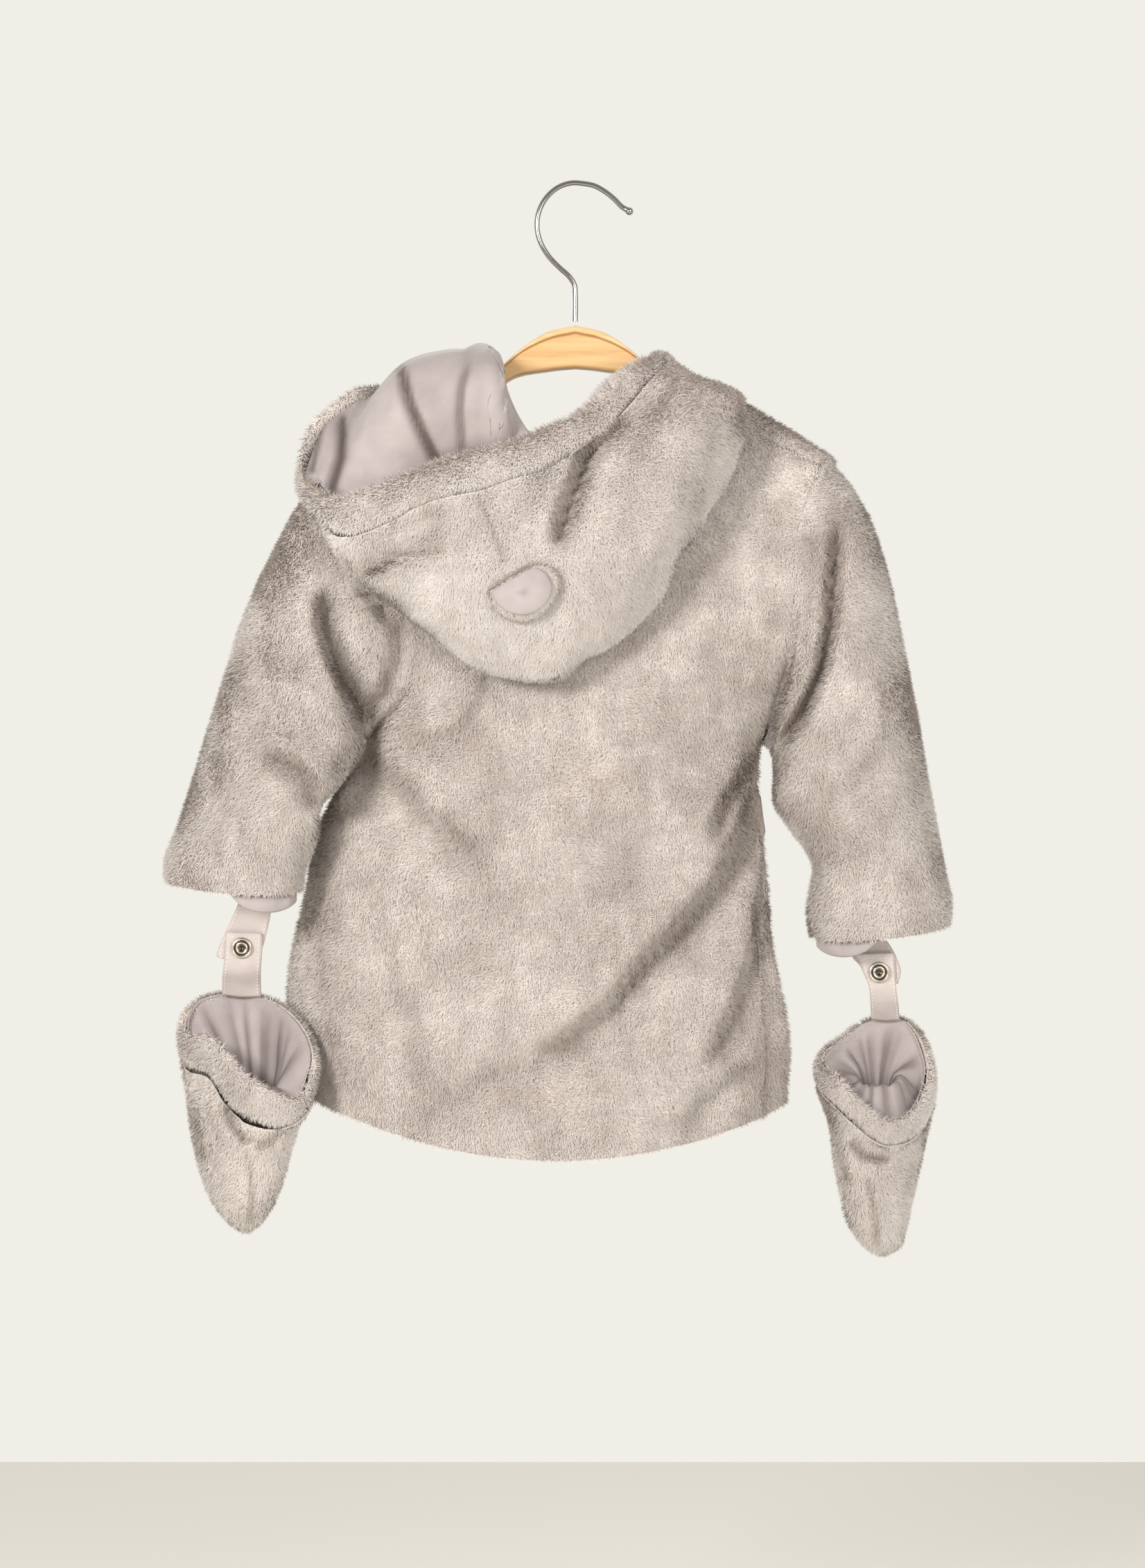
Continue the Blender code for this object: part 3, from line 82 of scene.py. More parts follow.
# The armhole seams behind, from the underarm to the shoulder tip, with the back's middle depth
ARMHOLE_BACK = (
    # left edge           right edge          middle
    ((528, 1066, -8),     (1099, 1075, 0),    -42),
    ((570, 1016, -21),    (1115, 1022, -14),  -41),
    ((600, 965, -30),     (1140, 955, -24),   -40),
    ((611, 905, -35),     (1147, 890, -29),   -39),
    ((592, 825, -34),     (1143, 815, -30),   -37),
    ((545, 755, -25),     (1158, 738, -24),   -34),
    ((478, 692, -12),     (1190, 670, -12),   -31),
)
# The armhole seams in front, with the depth of the front's edge at the centre
ARMHOLE_FRONT = (
    # left edge           right edge          centre
    ((528, 1066, -8),     (1099, 1075, 0),    37),
    ((543, 1005, 12),     (1106, 1020, 14),   37),
    ((546, 930, 30),      (1126, 940, 24),    37),
    ((545, 860, 32),      (1133, 870, 28),    37),
    ((525, 795, 27),      (1142, 800, 26),    37),
    ((492, 735, 20),      (1168, 730, 21),    38),
    ((462, 692, 13),      (1206, 674, 13),    39),
    ((465, 673, 3),       (1204, 661, 3),     40),
    ((472, 675, -7),      (1197, 656, -7),    40),
    ((478, 692, -13),     (1190, 670, -13),   40),
)
# Shoulder seams from tip to neck, and the necklines behind and in front
SHOULDER_LEFT = ((478, 692, -13), (560, 632, -13), (640, 588, -13), (690, 560, -13))
SHOULDER_RIGHT = ((1190, 670, -13), (1130, 641, -13), (1083, 618, -13), (1020, 591, -13), (975, 571, -14))
SHOULDER_RISE = (((0, 15), (0.25, 36), (0.6, 40), (1, 28)),  # rows from seam to ridge, tip to neck
                 ((0, 13), (0.25, 28), (0.6, 34), (1, 27)))
NECK_BACK = ((690, 560, -13), (716, 606, -24), (765, 646, -31), (830, 663, -34),
             (893, 646, -31), (945, 605, -24), (975, 571, -14))
NECK_FRONT_LEFT = ((690, 560, -13), (688, 543, -4), (692, 560, 15), (704, 612, 26), (745, 668, 33),
                   (800, 700, 42), (858, 706, 44))
NECK_FRONT_RIGHT = ((975, 571, -14), (977, 545, -4), (972, 562, 17), (952, 616, 24), (905, 668, 30),
                    (865, 698, 34), (810, 706, 36))
NECK_TURN = 2                     # points of each front neckline that turn over the shoulder
# The front's rows over the shoulder, at the ridge, crest and in front of it: rows and mm from the
# ridge's height and the seam, then the same from the neckline's crest and from its other points
TURN_ROWS = ((5, 5, 0, 5, 5, 0.2), (0, 16, 4, 14, 12, 0.4), (26, 27, 24, 20, 26, 0.6))
CENTRE_COLUMN = 834
LAP, LAP_DEPTH = 24, 4            # columns that each front passes the centre, and mm above or below
NECK_ASIDE = 15.0                 # columns that a front leans outwards where it turns at the neck's corner
HEM_MIDDLE, HEM_FRONT = 80, 46    # rows that the hem hangs below its ends
SIDE_TURN = ((0, 0), (42, -24))   # columns and rows from the side seam out to the front's turn
TURN_AT, TURN_WIDE, TURN_START = 0.16, 0.14, 0.1  # its place, width and start as shares of the front
BODY_SWELL, SLEEVE_SWELL = 1.8, 2.2  # how full the sections are; 2 is an ellipse

# Folds: the line with its high side on the left as it runs, then heights in mm and widths in steps
BACK_FOLDS = (
    # name, line, rise, drop, rise width, drop width, edge width
    ("main sweep", ((735, 1535), (805, 1499), (873, 1451), (924, 1392), (976, 1339), (1027, 1278),
                    (1057, 1227), (1078, 1165), (1090, 1110)), 8, 9, 110, 60, 10),
    ("pocket", ((1026, 1215), (1031, 1180), (1045, 1150), (1072, 1115), (1096, 1082)), 6, 6, 60, 30, 8),
    ("side sweep", ((1005, 1550), (1038, 1492), (1056, 1455), (1078, 1395), (1093, 1345), (1102, 1270)),
     7, 6, 50, 44, 8),
    ("pinch sweep", ((520, 1035), (545, 1083), (575, 1127), (612, 1168), (655, 1205), (705, 1240)),
     8, 6, 120, 90, 14),
    ("lobe", ((528, 1040), (600, 1066), (660, 1052), (690, 1008), (694, 950)), 5, 4, 60, 50, 12),
    ("low swell", ((600, 1612), (690, 1552), (760, 1530), (860, 1500), (950, 1440)), 4, 5, 80, 60, 26),
    ("left flank", ((590, 1620), (520, 1450), (500, 1300), (520, 1130)), 4, 3, 80, 120, 40),
    ("right hem", ((980, 1650), (1000, 1590), (1060, 1545), (1110, 1530)), 3, 5, 50, 40, 14),
)
FRONT_FOLDS = (
    ("left sweep", ((520, 1080), (570, 1180), (660, 1290), (770, 1380)), 7, 9, 100, 80, 16),
    ("right sweep", ((930, 1420), (1000, 1330), (1050, 1220), (1080, 1110)), 7, 9, 100, 70, 16),
    ("left hem", ((560, 1640), (540, 1500), (580, 1360)), 6, 6, 80, 80, 30),
    ("right hem", ((900, 1640), (940, 1540), (1010, 1450)), 6, 6, 80, 80, 30),
)
SLEEVE_FOLDS = (
    ("right head", ((1104, 1092), (1150, 1026), (1178, 962), (1191, 900), (1196, 830), (1201, 770),
                    (1206, 738)), 3, 12, 34, 26, 5),
    ("right elbow", ((1150, 1172), (1230, 1120), (1310, 1020)), 3, 2, 60, 60, 24),
    ("right wrist", ((1330, 1262), (1240, 1236), (1172, 1244)), 3, 2, 40, 40, 16),
    ("left wrist", ((372, 1082), (408, 1090), (440, 1106), (455, 1134), (464, 1172)), 7, 9, 60, 46, 9),
    ("left arm edge", ((534, 1066), (517, 1024), (500, 998), (476, 950), (458, 905), (461, 866), (478, 838)),
     4, 15, 70, 40, 8),
    ("left swirl", ((506, 1026), (548, 998), (568, 945), (561, 905), (541, 868), (500, 838)),
     7, 8, 40, 30, 8),
    ("left upper", ((330, 985), (410, 1010), (500, 1062)), 4, 4, 60, 60, 24),
)
SLEEVE_BACK_FOLDS = (
    ("left front bend", ((300, 1120), (380, 1080), (450, 1010)), 6, 6, 60, 60, 18),
    ("left front head", ((400, 900), (450, 840), (480, 760)), 5, 6, 60, 50, 16),
    ("right front bend", ((1180, 1120), (1250, 1150), (1330, 1190)), 6, 6, 60, 60, 18),
    ("right front head", ((1180, 760), (1210, 850), (1230, 960)), 5, 6, 60, 50, 16),
)

# Sleeves: outer and inner edge of each section, and how far it swells behind and in front (mm)
SLEEVE_LEFT = (
    # outer edge          inner edge          behind front
    ((452, 704, -4),      (522, 1068, -11),   31, 28),
    ((428, 730, -5),      (521, 1072, -17),   29, 27),
    ((400, 782, -5),      (525, 1075, -24),   28, 28),
    ((372, 838, -5),      (520, 1088, -30),   27, 29),
    ((345, 905, -5),      (506, 1113, -36),   27, 30),
    ((320, 985, -5),      (484, 1142, -39),   27, 30),
    ((296, 1062, -5),     (462, 1168, -36),   28, 29),
    ((274, 1135, -5),     (461, 1200, -31),   28, 28),
    ((252, 1200, -5),     (453, 1228, -28),   28, 27),
    ((236, 1240, -5),     (442, 1256, -26),   29, 27),
    ((236, 1270, -5),     (438, 1284, -24),   29, 27),
)
SLEEVE_RIGHT = (
    ((1222, 690, 0),      (1111, 1085, 0),    34, 31),
    ((1254, 745, 0),      (1115, 1099, 0),    36, 33),
    ((1285, 840, 0),      (1116, 1130, 0),    37, 33),
    ((1303, 925, 0),      (1116, 1162, 0),    37, 32),
    ((1320, 1010, 0),     (1140, 1198, 0),    36, 31),
    ((1334, 1090, 0),     (1162, 1228, 0),    35, 30),
    ((1350, 1180, 0),     (1172, 1256, 0),    34, 30),
    ((1366, 1262, 0),     (1166, 1290, 0),    33, 30),
    ((1375, 1312, 0),     (1163, 1325, 0),    33, 30),
    ((1372, 1334, 0),     (1168, 1350, 0),    33, 30),
)
CUFF_DIP = (14, 14)               # rows that each cuff hangs lower behind, left and right

# The hood's sections, from the rim's seam round the bottom of the bag to the other rim or neckline
HOOD = (
    # rim seam, near middle, near low, bottom, far middle
    # far high, far top, turned over, end
    ((464, 752, -50), (457, 739, -46), (452, 729, -43), (450, 722, -38), (450, 715, -32),
     (451, 708, -27), (453, 702, -23), (456, 697, -20), (459, 693, -18)),
    ((478, 771, -59), (479, 784, -59), (478, 790, -56), (476, 788, -47), (472, 750, -36),
     (469, 700, -26), (470, 660, -20), (473, 642, -14), (478, 627, -8)),
    ((508, 774, -66), (515, 808, -66), (520, 835, -60), (520, 842, -50), (508, 800, -43),
     (503, 715, -34), (510, 650, -24), (520, 614, -14), (530, 590, -4)),
    ((548, 759, -70), (552, 815, -71), (562, 865, -64), (568, 880, -53), (552, 830, -48),
     (543, 700, -40), (558, 566, -26), (564, 553, -12), (570, 557, 3)),
    ((592, 738, -73), (600, 815, -76), (628, 888, -70), (640, 938, -54), (618, 870, -49),
     (598, 700, -41), (604, 527, -26), (606, 524, -7), (604, 567, 15)),
    ((642, 718, -75), (668, 805, -79), (705, 905, -73), (735, 988, -55), (700, 890, -50),
     (655, 700, -42), (664, 516, -24), (662, 508, -3), (646, 572, 28)),
    ((697, 706, -75), (727, 775, -80), (778, 900, -76), (812, 987, -55), (775, 890, -50),
     (706, 700, -43), (702, 513, -24), (697, 507, 2), (690, 612, 41)),
    ((740, 690, -74), (778, 760, -79), (830, 890, -76), (868, 958, -55), (820, 870, -50),
     (725, 700, -43), (711, 519, -24), (708, 511, -4), (709, 541, 21)),
    ((777, 681, -73), (820, 755, -80), (875, 865, -77), (918, 915, -55), (860, 845, -50),
     (745, 700, -43), (716, 535, -27), (714, 519, -14), (711, 513, -1)),
    ((812, 664, -71), (862, 745, -82), (915, 830, -78), (957, 862, -54), (895, 815, -49),
     (772, 700, -43), (721, 565, -31), (716, 551, -26), (712, 539, -20)),
    ((846, 646, -68), (905, 730, -83), (950, 790, -76), (988, 812, -53), (920, 785, -48),
     (802, 704, -43), (745, 618, -38), (740, 612, -34), (733, 607, -31)),
    ((880, 612, -62), (945, 700, -82), (982, 745, -73), (1017, 758, -51), (945, 745, -47),
     (845, 712, -43), (800, 668, -41), (793, 660, -39), (785, 652, -37)),
    ((910, 580, -54), (978, 665, -76), (1010, 700, -66), (1041, 720, -48), (975, 710, -45),
     (895, 700, -42), (855, 676, -41), (848, 669, -40), (840, 661, -39)),
    ((935, 550, -48), (1005, 625, -68), (1035, 655, -60), (1061, 670, -45), (1000, 665, -42),
     (935, 665, -40), (900, 655, -38), (894, 649, -37), (888, 643, -37)),
    ((950, 535, -42), (1020, 590, -58), (1050, 612, -52), (1077, 612, -40), (1015, 625, -34),
     (960, 635, -34), (932, 622, -33), (927, 618, -32), (922, 613, -32)),
    ((962, 522, -36), (1022, 560, -49), (1052, 570, -45), (1075, 568, -35), (1015, 590, -28),
     (968, 604, -28), (952, 594, -27), (949, 590, -26), (946, 586, -26)),
    ((968, 516, -28), (1010, 540, -38), (1025, 546, -36), (1035, 552, -31), (1010, 566, -25),
     (985, 566, -23), (975, 558, -21), (973, 555, -20), (971, 552, -20)),
)
HOOD_FOLDS = (
    ("big fold", ((796, 800), (800, 765), (812, 720), (842, 655), (880, 607), (902, 585)), 9, 9, 70, 30, 7),
    ("gusset seam", ((690, 700), (704, 738), (718, 768), (744, 815)), 1.5, 3, 22, 14, 6),
    ("left seam", ((548, 748), (600, 742), (650, 730)), 2, 2, 30, 20, 7),
    ("gusset crease", ((655, 786), (600, 797), (550, 822), (505, 832)), 5, 5, 40, 45, 9),
    ("right soft", ((1000, 600), (950, 720), (900, 830), (880, 910)), 3, 3, 70, 70, 35),
)
# The band's free edge and its seam, from its end at the right front to the one at the left front,
# with its thickness in mm
BAND = (
    ((862, 648, 42), (874, 684, 45), 9), ((890, 618, 36), (906, 650, 40), 9),
    ((922, 566, 28), (946, 596, 32), 9), ((940, 518, 20), (972, 540, 22), 7),
    ((942, 508, 8), (972, 520, 8), 6), ((943, 508, -6), (973, 518, -8), 6),
    ((944, 508, -16), (972, 520, -22), 7), ((946, 509, -23), (966, 524, -31), 8),
    ((936, 508, -25), (955, 536, -37), 9), ((915, 512, -30), (935, 552, -44), 10),
    ((888, 530, -38), (910, 580, -52), 10), ((862, 550, -44), (880, 612, -62), 11),
    ((840, 578, -52), (846, 646, -68), 11), ((808, 596, -57), (812, 664, -71), 11),
    ((775, 610, -60), (777, 681, -73), 11), ((740, 624, -62), (740, 690, -74), 11),
    ((700, 635, -63), (697, 706, -75), 11), ((650, 646, -63), (642, 718, -75), 11),
    ((600, 665, -62), (592, 738, -73), 11), ((555, 683, -60), (548, 759, -70), 11),
    ((515, 700, -57), (508, 774, -66), 9), ((487, 708, -53), (472, 759, -62), 6),
    ((462, 700, -45), (447, 732, -52), 4), ((443, 690, -38), (433, 722, -41), 5),
    ((431, 678, -30), (429, 708, -28), 4), ((430, 658, -24), (438, 684, -17), 4),
    ((436, 630, -18), (455, 646, -12), 4), ((454, 602, -13), (471, 615, -9), 5),
    ((482, 580, -9), (497, 596, -5), 5), ((512, 561, -4), (525, 578, -2), 5),
    ((544, 560, 5), (552, 571, 8), 5), ((574, 563, 15), (575, 578, 20), 6),
    ((606, 578, 22), (602, 600, 26), 6), ((646, 594, 33), (643, 620, 36), 7),
    ((684, 630, 43), (680, 658, 45), 7),
)
BAND_CELLS = 48
ROLL_FILL, ROUNDING = 0.86, 0.9   # share of a roll's height that it fills, and how round it is

# The one ear that shows, sewn flat on the hood by its upper edge, and its smooth inner disc
EAR = ((703, 850), (712, 880), (730, 893), (755, 898), (785, 885), (803, 860), (808, 835), (800, 822),
       (780, 812), (740, 826), (703, 850))
EAR_INNER = ((709, 854), (715, 868), (736, 884), (763, 886), (786, 872), (796, 850), (791, 833), (775, 820),
             (743, 834), (709, 854))
EAR_LOOPS = ((0.4, 0.6), (0.85, 0.6), (0.97, 1.4), (1.0, 3.4), (0.95, 6.0), (0.8, 7.8), (0.45, 8.8))
EAR_INNER_LOOPS = ((0.5, 0.8), (0.95, 0.8), (1.0, 1.3), (0.93, 1.9), (0.5, 2.1))

# The lining that bulges under each cuff: its middle column, half width and rows
CUFF_BULGE = {"left": (388, 52, 26), "right": (1214, 48, 24)}

# Straps as pairs of edge points from the cuff down
SLEEVE_STRAPS = {
    "left": (((352, 1266, -17), (396, 1266, -17)), ((345, 1300, -14), (390, 1318, -14)),
             ((325, 1345, -12), (385, 1345, -12)), ((312, 1377, -12), (378, 1370, -12)),
             ((320, 1384, -12), (372, 1388, -12))),
    "right": (((1226, 1312, -17), (1262, 1312, -17)), ((1250, 1345, -14), (1272, 1345, -14)),
              ((1229, 1376, -12), (1290, 1374, -12)), ((1241, 1394, -12), (1300, 1400, -12)),
              ((1250, 1414, -12), (1296, 1420, -12))),
}
MITTEN_STRAPS = {
    "left": (((326, 1345, -14), (378, 1347, -14)), ((325, 1368, -14), (378, 1370, -14)),
             ((323, 1387, -14), (377, 1388, -14)), ((321, 1404, -12), (376, 1405, -12)),
             ((320, 1421, -4), (376, 1423, -5)), ((320, 1438, 2), (376, 1439, -2.5))),
    "right": (((1232, 1377, -14), (1290, 1375, -14)), ((1242, 1392, -14), (1291, 1392, -14)),
              ((1253, 1422, -14), (1293, 1422, -14)), ((1255, 1440, -11), (1295, 1442, -11)),
              ((1256, 1456, -5), (1297, 1458, -5)), ((1257, 1473, 3), (1298, 1474, 2))),
}

# Mitten rolls as pairs of top and bottom edge points, from the left round the near side
MITTEN_ROLLS = {
    "left": (((262, 1488, -16), (264, 1538, -16)), ((303, 1490, -37), (300, 1552, -38)),
             ((343, 1535, -49), (337, 1605, -50)), ((395, 1572, -55), (398, 1628, -55)),
             ((436, 1578, -50), (438, 1612, -51)), ((461, 1530, -36), (456, 1562, -36)),
             ((443, 1476, -21), (440, 1502, -19)), ((400, 1440, -2), (404, 1464, 0)),
             ((340, 1427, 11), (340, 1451, 13)), ((286, 1437, 7), (284, 1463, 8)),
             ((261, 1462, -4), (260, 1494, -4))),
    "right": (((1177, 1530, -16), (1178, 1568, -16)), ((1204, 1548, -35), (1203, 1594, -36)),
              ((1236, 1582, -43), (1234, 1622, -44)), ((1280, 1612, -43), (1279, 1654, -43)),
              ((1322, 1598, -33), (1324, 1638, -33)), ((1346, 1545, -12), (1349, 1586, -11)),
              ((1334, 1492, 2), (1337, 1522, 4)), ((1300, 1464, 10), (1302, 1492, 12)),
              ((1250, 1468, 12), (1249, 1496, 14)), ((1208, 1494, 4), (1206, 1522, 5)),
              ((1185, 1512, -7), (1184, 1542, -6))),
}
ROLL_THICK = 8 * MM
ROLL_CLEAR = 2.2 * MM             # from the roll's lower edge to the mitten's body
# Mitten bodies below the rolls: edges, swell behind and in front (mm), dip behind and in front (rows)
MITTENS = {
    "left": (((270, 1600, -16), (432, 1622, -37), 24, 24, 30, -60),
             ((278, 1652, -17), (420, 1662, -34), 22, 19, 10, -20),
             ((292, 1702, -20), (410, 1702, -30), 19, 17, 0, 0),
             ((312, 1745, -22), (392, 1745, -27), 14, 12, 0, 0),
             ((335, 1770, -23), (373, 1770, -25), 7, 6, 0, 0),
             ((348, 1778, -24), (362, 1778, -24), 2, 2, 0, 0)),
    "right": (((1196, 1622, -16), (1336, 1642, -16), 25, 22, 26, -50),
              ((1201, 1668, -16), (1328, 1682, -16), 22, 20, 8, -16),
              ((1211, 1720, -16), (1317, 1732, -16), 18, 16, 0, 0),
              ((1226, 1772, -16), (1307, 1776, -16), 13, 12, 0, 0),
              ((1248, 1801, -16), (1297, 1802, -16), 7, 6, 0, 0),
              ((1264, 1811, -16), (1280, 1811, -16), 2, 2, 0, 0)),
}
MITTEN_CELLS, MITTEN_ROWS = 10, 8
# The gathered lining in each mitten's mouth: loops as centre, half width and half depth (mm)
FUNNELS = {
    "left": (((366, 1562, -27), 15, 13), ((368, 1586, -27), 12, 10), ((366, 1608, -27), 14, 11)),
    "right": (((1266, 1556, -16), 13, 12), ((1265, 1584, -16), 10, 9), ((1264, 1612, -16), 13, 12)),
}
FUNNEL_ROWS = 4

# Hanger: the hook's centre line from its free end, and the wood's outline for the right half
HOOK = ((908, 305), (898, 299), (886, 287), (872, 276), (857, 268), (842, 265), (826, 264), (808, 269),
        (793, 280), (782, 295), (776, 312), (775, 330), (780, 350), (791, 369), (808, 387), (822, 400),
        (829, 412), (830, 425), (830, 464))
HOOK_CELLS = 38
WOOD_MIDDLE = 830
WOOD_TOP = ((830, 470), (869, 479), (900, 497), (930, 523), (960, 555), (1000, 584), (1050, 606),
            (1100, 627), (1132, 643), (1146, 651))
WOOD_UNDER = ((1151, 661), (1144, 669), (1130, 664), (1100, 651), (1050, 629), (1000, 608), (960, 582),
              (920, 548), (868, 537), (830, 533))

# Sizes of what is finer here than in the solids
FINER = 3                         # cells for each of the solids' cells
HELD_CELLS = 1.4                  # cells of the solids over which a fold fades towards a seam
HELD_EDGES = {"back": ("top", "left", "right"), "front_left": ("top", "right"),
              "front_right": ("top", "left"), "sleeve_left": ("start",), "sleeve_right": ("start",)}
CLOTH_THICK, THIN = 0.8 * MM, 0.6 * MM  # the plush's cloth and the linings
LINING_SUNK, LINING_ROOM = 4.0 * MM, 4.0 * MM  # below the hood's outside, and more where it is padded
LINED_ROW, LINED_FIRST = 9, 11    # the hood's first row and column with a lining under them
CUFF_RINGS = 8                    # rings of the lining that hangs out of a cuff
PLEAT = 0.9 * MM                  # height of the pleats in a mitten's lining
LATHE_SIDES, THREAD_SIDES = 48, 6  # round a snap, and round a stitch
# Stitches: their distance, length and radius, and the row of a strap on which its end is stitched
STITCH, TOP_STITCH = (2.4 * MM, 1.6 * MM, 0.28 * MM), -3
GATHER_STITCH = (1.3 * MM, 1.1 * MM, 0.28 * MM)
FOLD_FADES = 0.22, 0.16           # shares of a fold's length over which it starts and ends
CREASE_SHADE_FADES = 0.15, 0.12         # the same for the painted shade beside it
SHADE_DROP, SHADE_EDGE = 9, 7       # a crease of this drop in mm and this narrow an edge gets the darkest painted shade
SHADE_AT, SHADE_WIDE, SHADE_REACH = 0.7, 1.4, 0.16  # the painted shade's place and width by the edge, and by the drop's width
FACING = 1.6                      # how soon a slanting cloth counts as facing the viewer
WOOD_ROUND, BORDER = 3 * MM, 4.8 * MM  # radius of the wood's edge, and how wide its border is
GROOVE_DEEP, GROOVE_WIDE, FIELD_DEEP = 1.0 * MM, 0.8 * MM, 0.5 * MM  # inside the border
PLAIN_HEIGHT, BORDER_FADE = 14 * MM, 6 * MM  # wood up to this height has no border, and where it fades in

# Tufts of the pile: their sizes, and how many each piece has
PILE_ROOT, PILE_LENGTH, PILE_WIDE = 1.3 * MM, 2.9 * MM, 0.66 * MM
CLUMP, CLUMPING = 2.4 * MM, 0.2   # size of a clump of tufts, and how far their tips draw together
CLUMP_BLUR = 3 * MM               # how far a clump's edge strays
BROAD_SWIRL, BROAD_SIZE = 0.7, 60 * MM   # radians that the pile turns aside, and over what distance
SMALL_SWIRL, SMALL_SIZE = 0.25, 22 * MM
TURN_SPREAD, WAY_SPREAD = 0.5, 0.15      # how far single tufts stray from that
LIFT, LIFT_SWELL, LIFT_SPREAD = 47, 5, 9  # degrees that they stand off the cloth
LIFT_BOUNDS = 0.5, 1.4            # radians
LENGTH_SPREAD, LENGTH_BOUNDS = 0.16, (0.55, 1.5)
ROOT_SHADE_TONE, TIP_TONE = 0.40, 0.80  # how light a tuft is painted at its root and tip; the darker root is painted shade deep in the pile
HASH = np.array([[12.99, 78.23, 37.72], [39.35, 11.14, 83.15], [73.16, 52.24, 9.15]])
HASH_SCALE = 43758.5              # spreads a clump's cell over the numbers from 0 to 1
TUFTS = {"back": 190000, "front_left": 62000, "front_right": 58000, "sleeve_left": 84000,
         "sleeve_right": 86000, "hood_side_right": 70000, "hood_gusset": 40000, "hood_side_left": 12000,
         "hood_band": 40000, "ear": 5000, "mitten": 32000, "mitten_roll": 20000}
# The first seed of each kind of pile
BODY_SEED, HOOD_SEED, BAND_SEED, EAR_SEED, ROLL_SEED, MITTEN_SEED = 1, 101, 201, 221, 301, 321
HOOD_FALL = {"hood_side_right": (0.25, 0, -1), "hood_gusset": (-0.2, 0, -1), "hood_side_left": (0, 0, -1)}
# Creases of the hood's lining: the line with its high side on the left, then rise, drop and widths
LINING_FOLDS = (
    ("deep crease", ((572, 515), (584, 541), (594, 582), (613, 625), (640, 680)), 5, 5, 44, 20, 3),
    ("middle crease", ((684, 520), (670, 555), (666, 600), (672, 670)), 4.5, 2.5, 36, 16, 3),
    ("left tuck", ((495, 590), (499, 630), (497, 662), (478, 720)), 5, 5, 34, 20, 3),
    ("left tip", ((470, 600), (462, 640), (450, 690)), 3, 3, 20, 16, 3),
)
MITTEN_FOLDS = {
    "left": (("centre seam", ((358, 1650), (366, 1700), (368, 1735), (362, 1775)), 0.6, 2.4, 20, 12, 2),
             ("yoke", ((322, 1590), (340, 1625), (362, 1652)), 2.5, 3.5, 24, 18, 3),
             ("yoke right", ((420, 1620), (395, 1650), (366, 1662)), 1.5, 2.5, 24, 18, 4),
             ("gather", ((268, 1570), (282, 1620), (290, 1680)), 1.5, 2.5, 24, 18, 5)),
    "right": (("centre seam", ((1250, 1690), (1262, 1740), (1270, 1805)), 0.6, 2.4, 20, 12, 2),
              ("yoke", ((1225, 1640), (1250, 1665), (1285, 1672)), 2, 3, 24, 18, 4),
              ("gather", ((1202, 1600), (1212, 1660), (1226, 1710)), 1.5, 2.5, 24, 18, 5)),
}
# The ring snap, from the rim inwards, and the back of its stud: radius and height in mm, and darkness
SNAP_PROFILE = ((5.4, -1.1, 0), (5.9, -0.6, 0), (6.0, 0.1, 0), (5.8, 0.7, 0), (5.3, 1.05, 0),
                (4.9, 1.0, 0), (4.5, 0.5, 0.3), (4.2, -0.2, 1), (3.9, -0.2, 1), (3.6, 0.2, 0.3),
                (3.2, 0.7, 0), (2.8, 0.8, 0), (2.4, 0.5, 0), (2.0, 0.0, 0.5), (1.7, -0.3, 0.6),
                (1.5, -0.4, 1), (0.9, -0.8, 1), (0.02, -0.9, 1))
STUD_PROFILE = ((0.02, -0.5, 0), (3.5, -0.5, 0), (4.6, -0.45, 0), (5.0, -0.2, 0), (5.0, 0.2, 0),
                (4.6, 0.5, 0), (0.02, 0.55, 0))
# Light, surroundings and picture
IMAGE_ROWS = 2263
PAPER = (0.875, 0.86, 0.80)       # the surroundings' colour
WORLD_AHEAD = 0.46                # share of their light that comes from the viewer's side
AHEAD_TINT = (0.89, 0.845, 0.82)  # and its colour there
KEY_POWER, FILL_POWER = 30, 21


def seen(column, row, depth):
    """Grid column and row with a depth in mm, as a point in metres."""
    column, row, depth = np.broadcast_arrays(np.asarray(column, float), row, depth)
    y = depth * MM
    reach = (y - EYE[1]) / -EYE[1]
    x = EYE[0] + ((column - HOOK_COLUMN) * STEP - EYE[0]) * reach
    z = EYE[2] + ((HOOK_ROW - row) * STEP - EYE[2]) * reach
    return np.stack([x, y, z], axis=-1)


def place(points):
    """A list or array of (column, row, depth) as points in metres."""
    points = np.asarray(points, float)
    return seen(points[..., 0], points[..., 1], points[..., 2])


def on_grid(points):
    """The grid column and row on which points in metres are seen."""
    reach = (points[..., 1] - EYE[1]) / -EYE[1]
    column = ((points[..., 0] - EYE[0]) / reach + EYE[0]) / STEP + HOOK_COLUMN
    row = HOOK_ROW - ((points[..., 2] - EYE[2]) / reach + EYE[2]) / STEP
    return column, row


def ease(t):
    t = np.clip(t, 0, 1)
    return t * t * (3 - 2 * t)


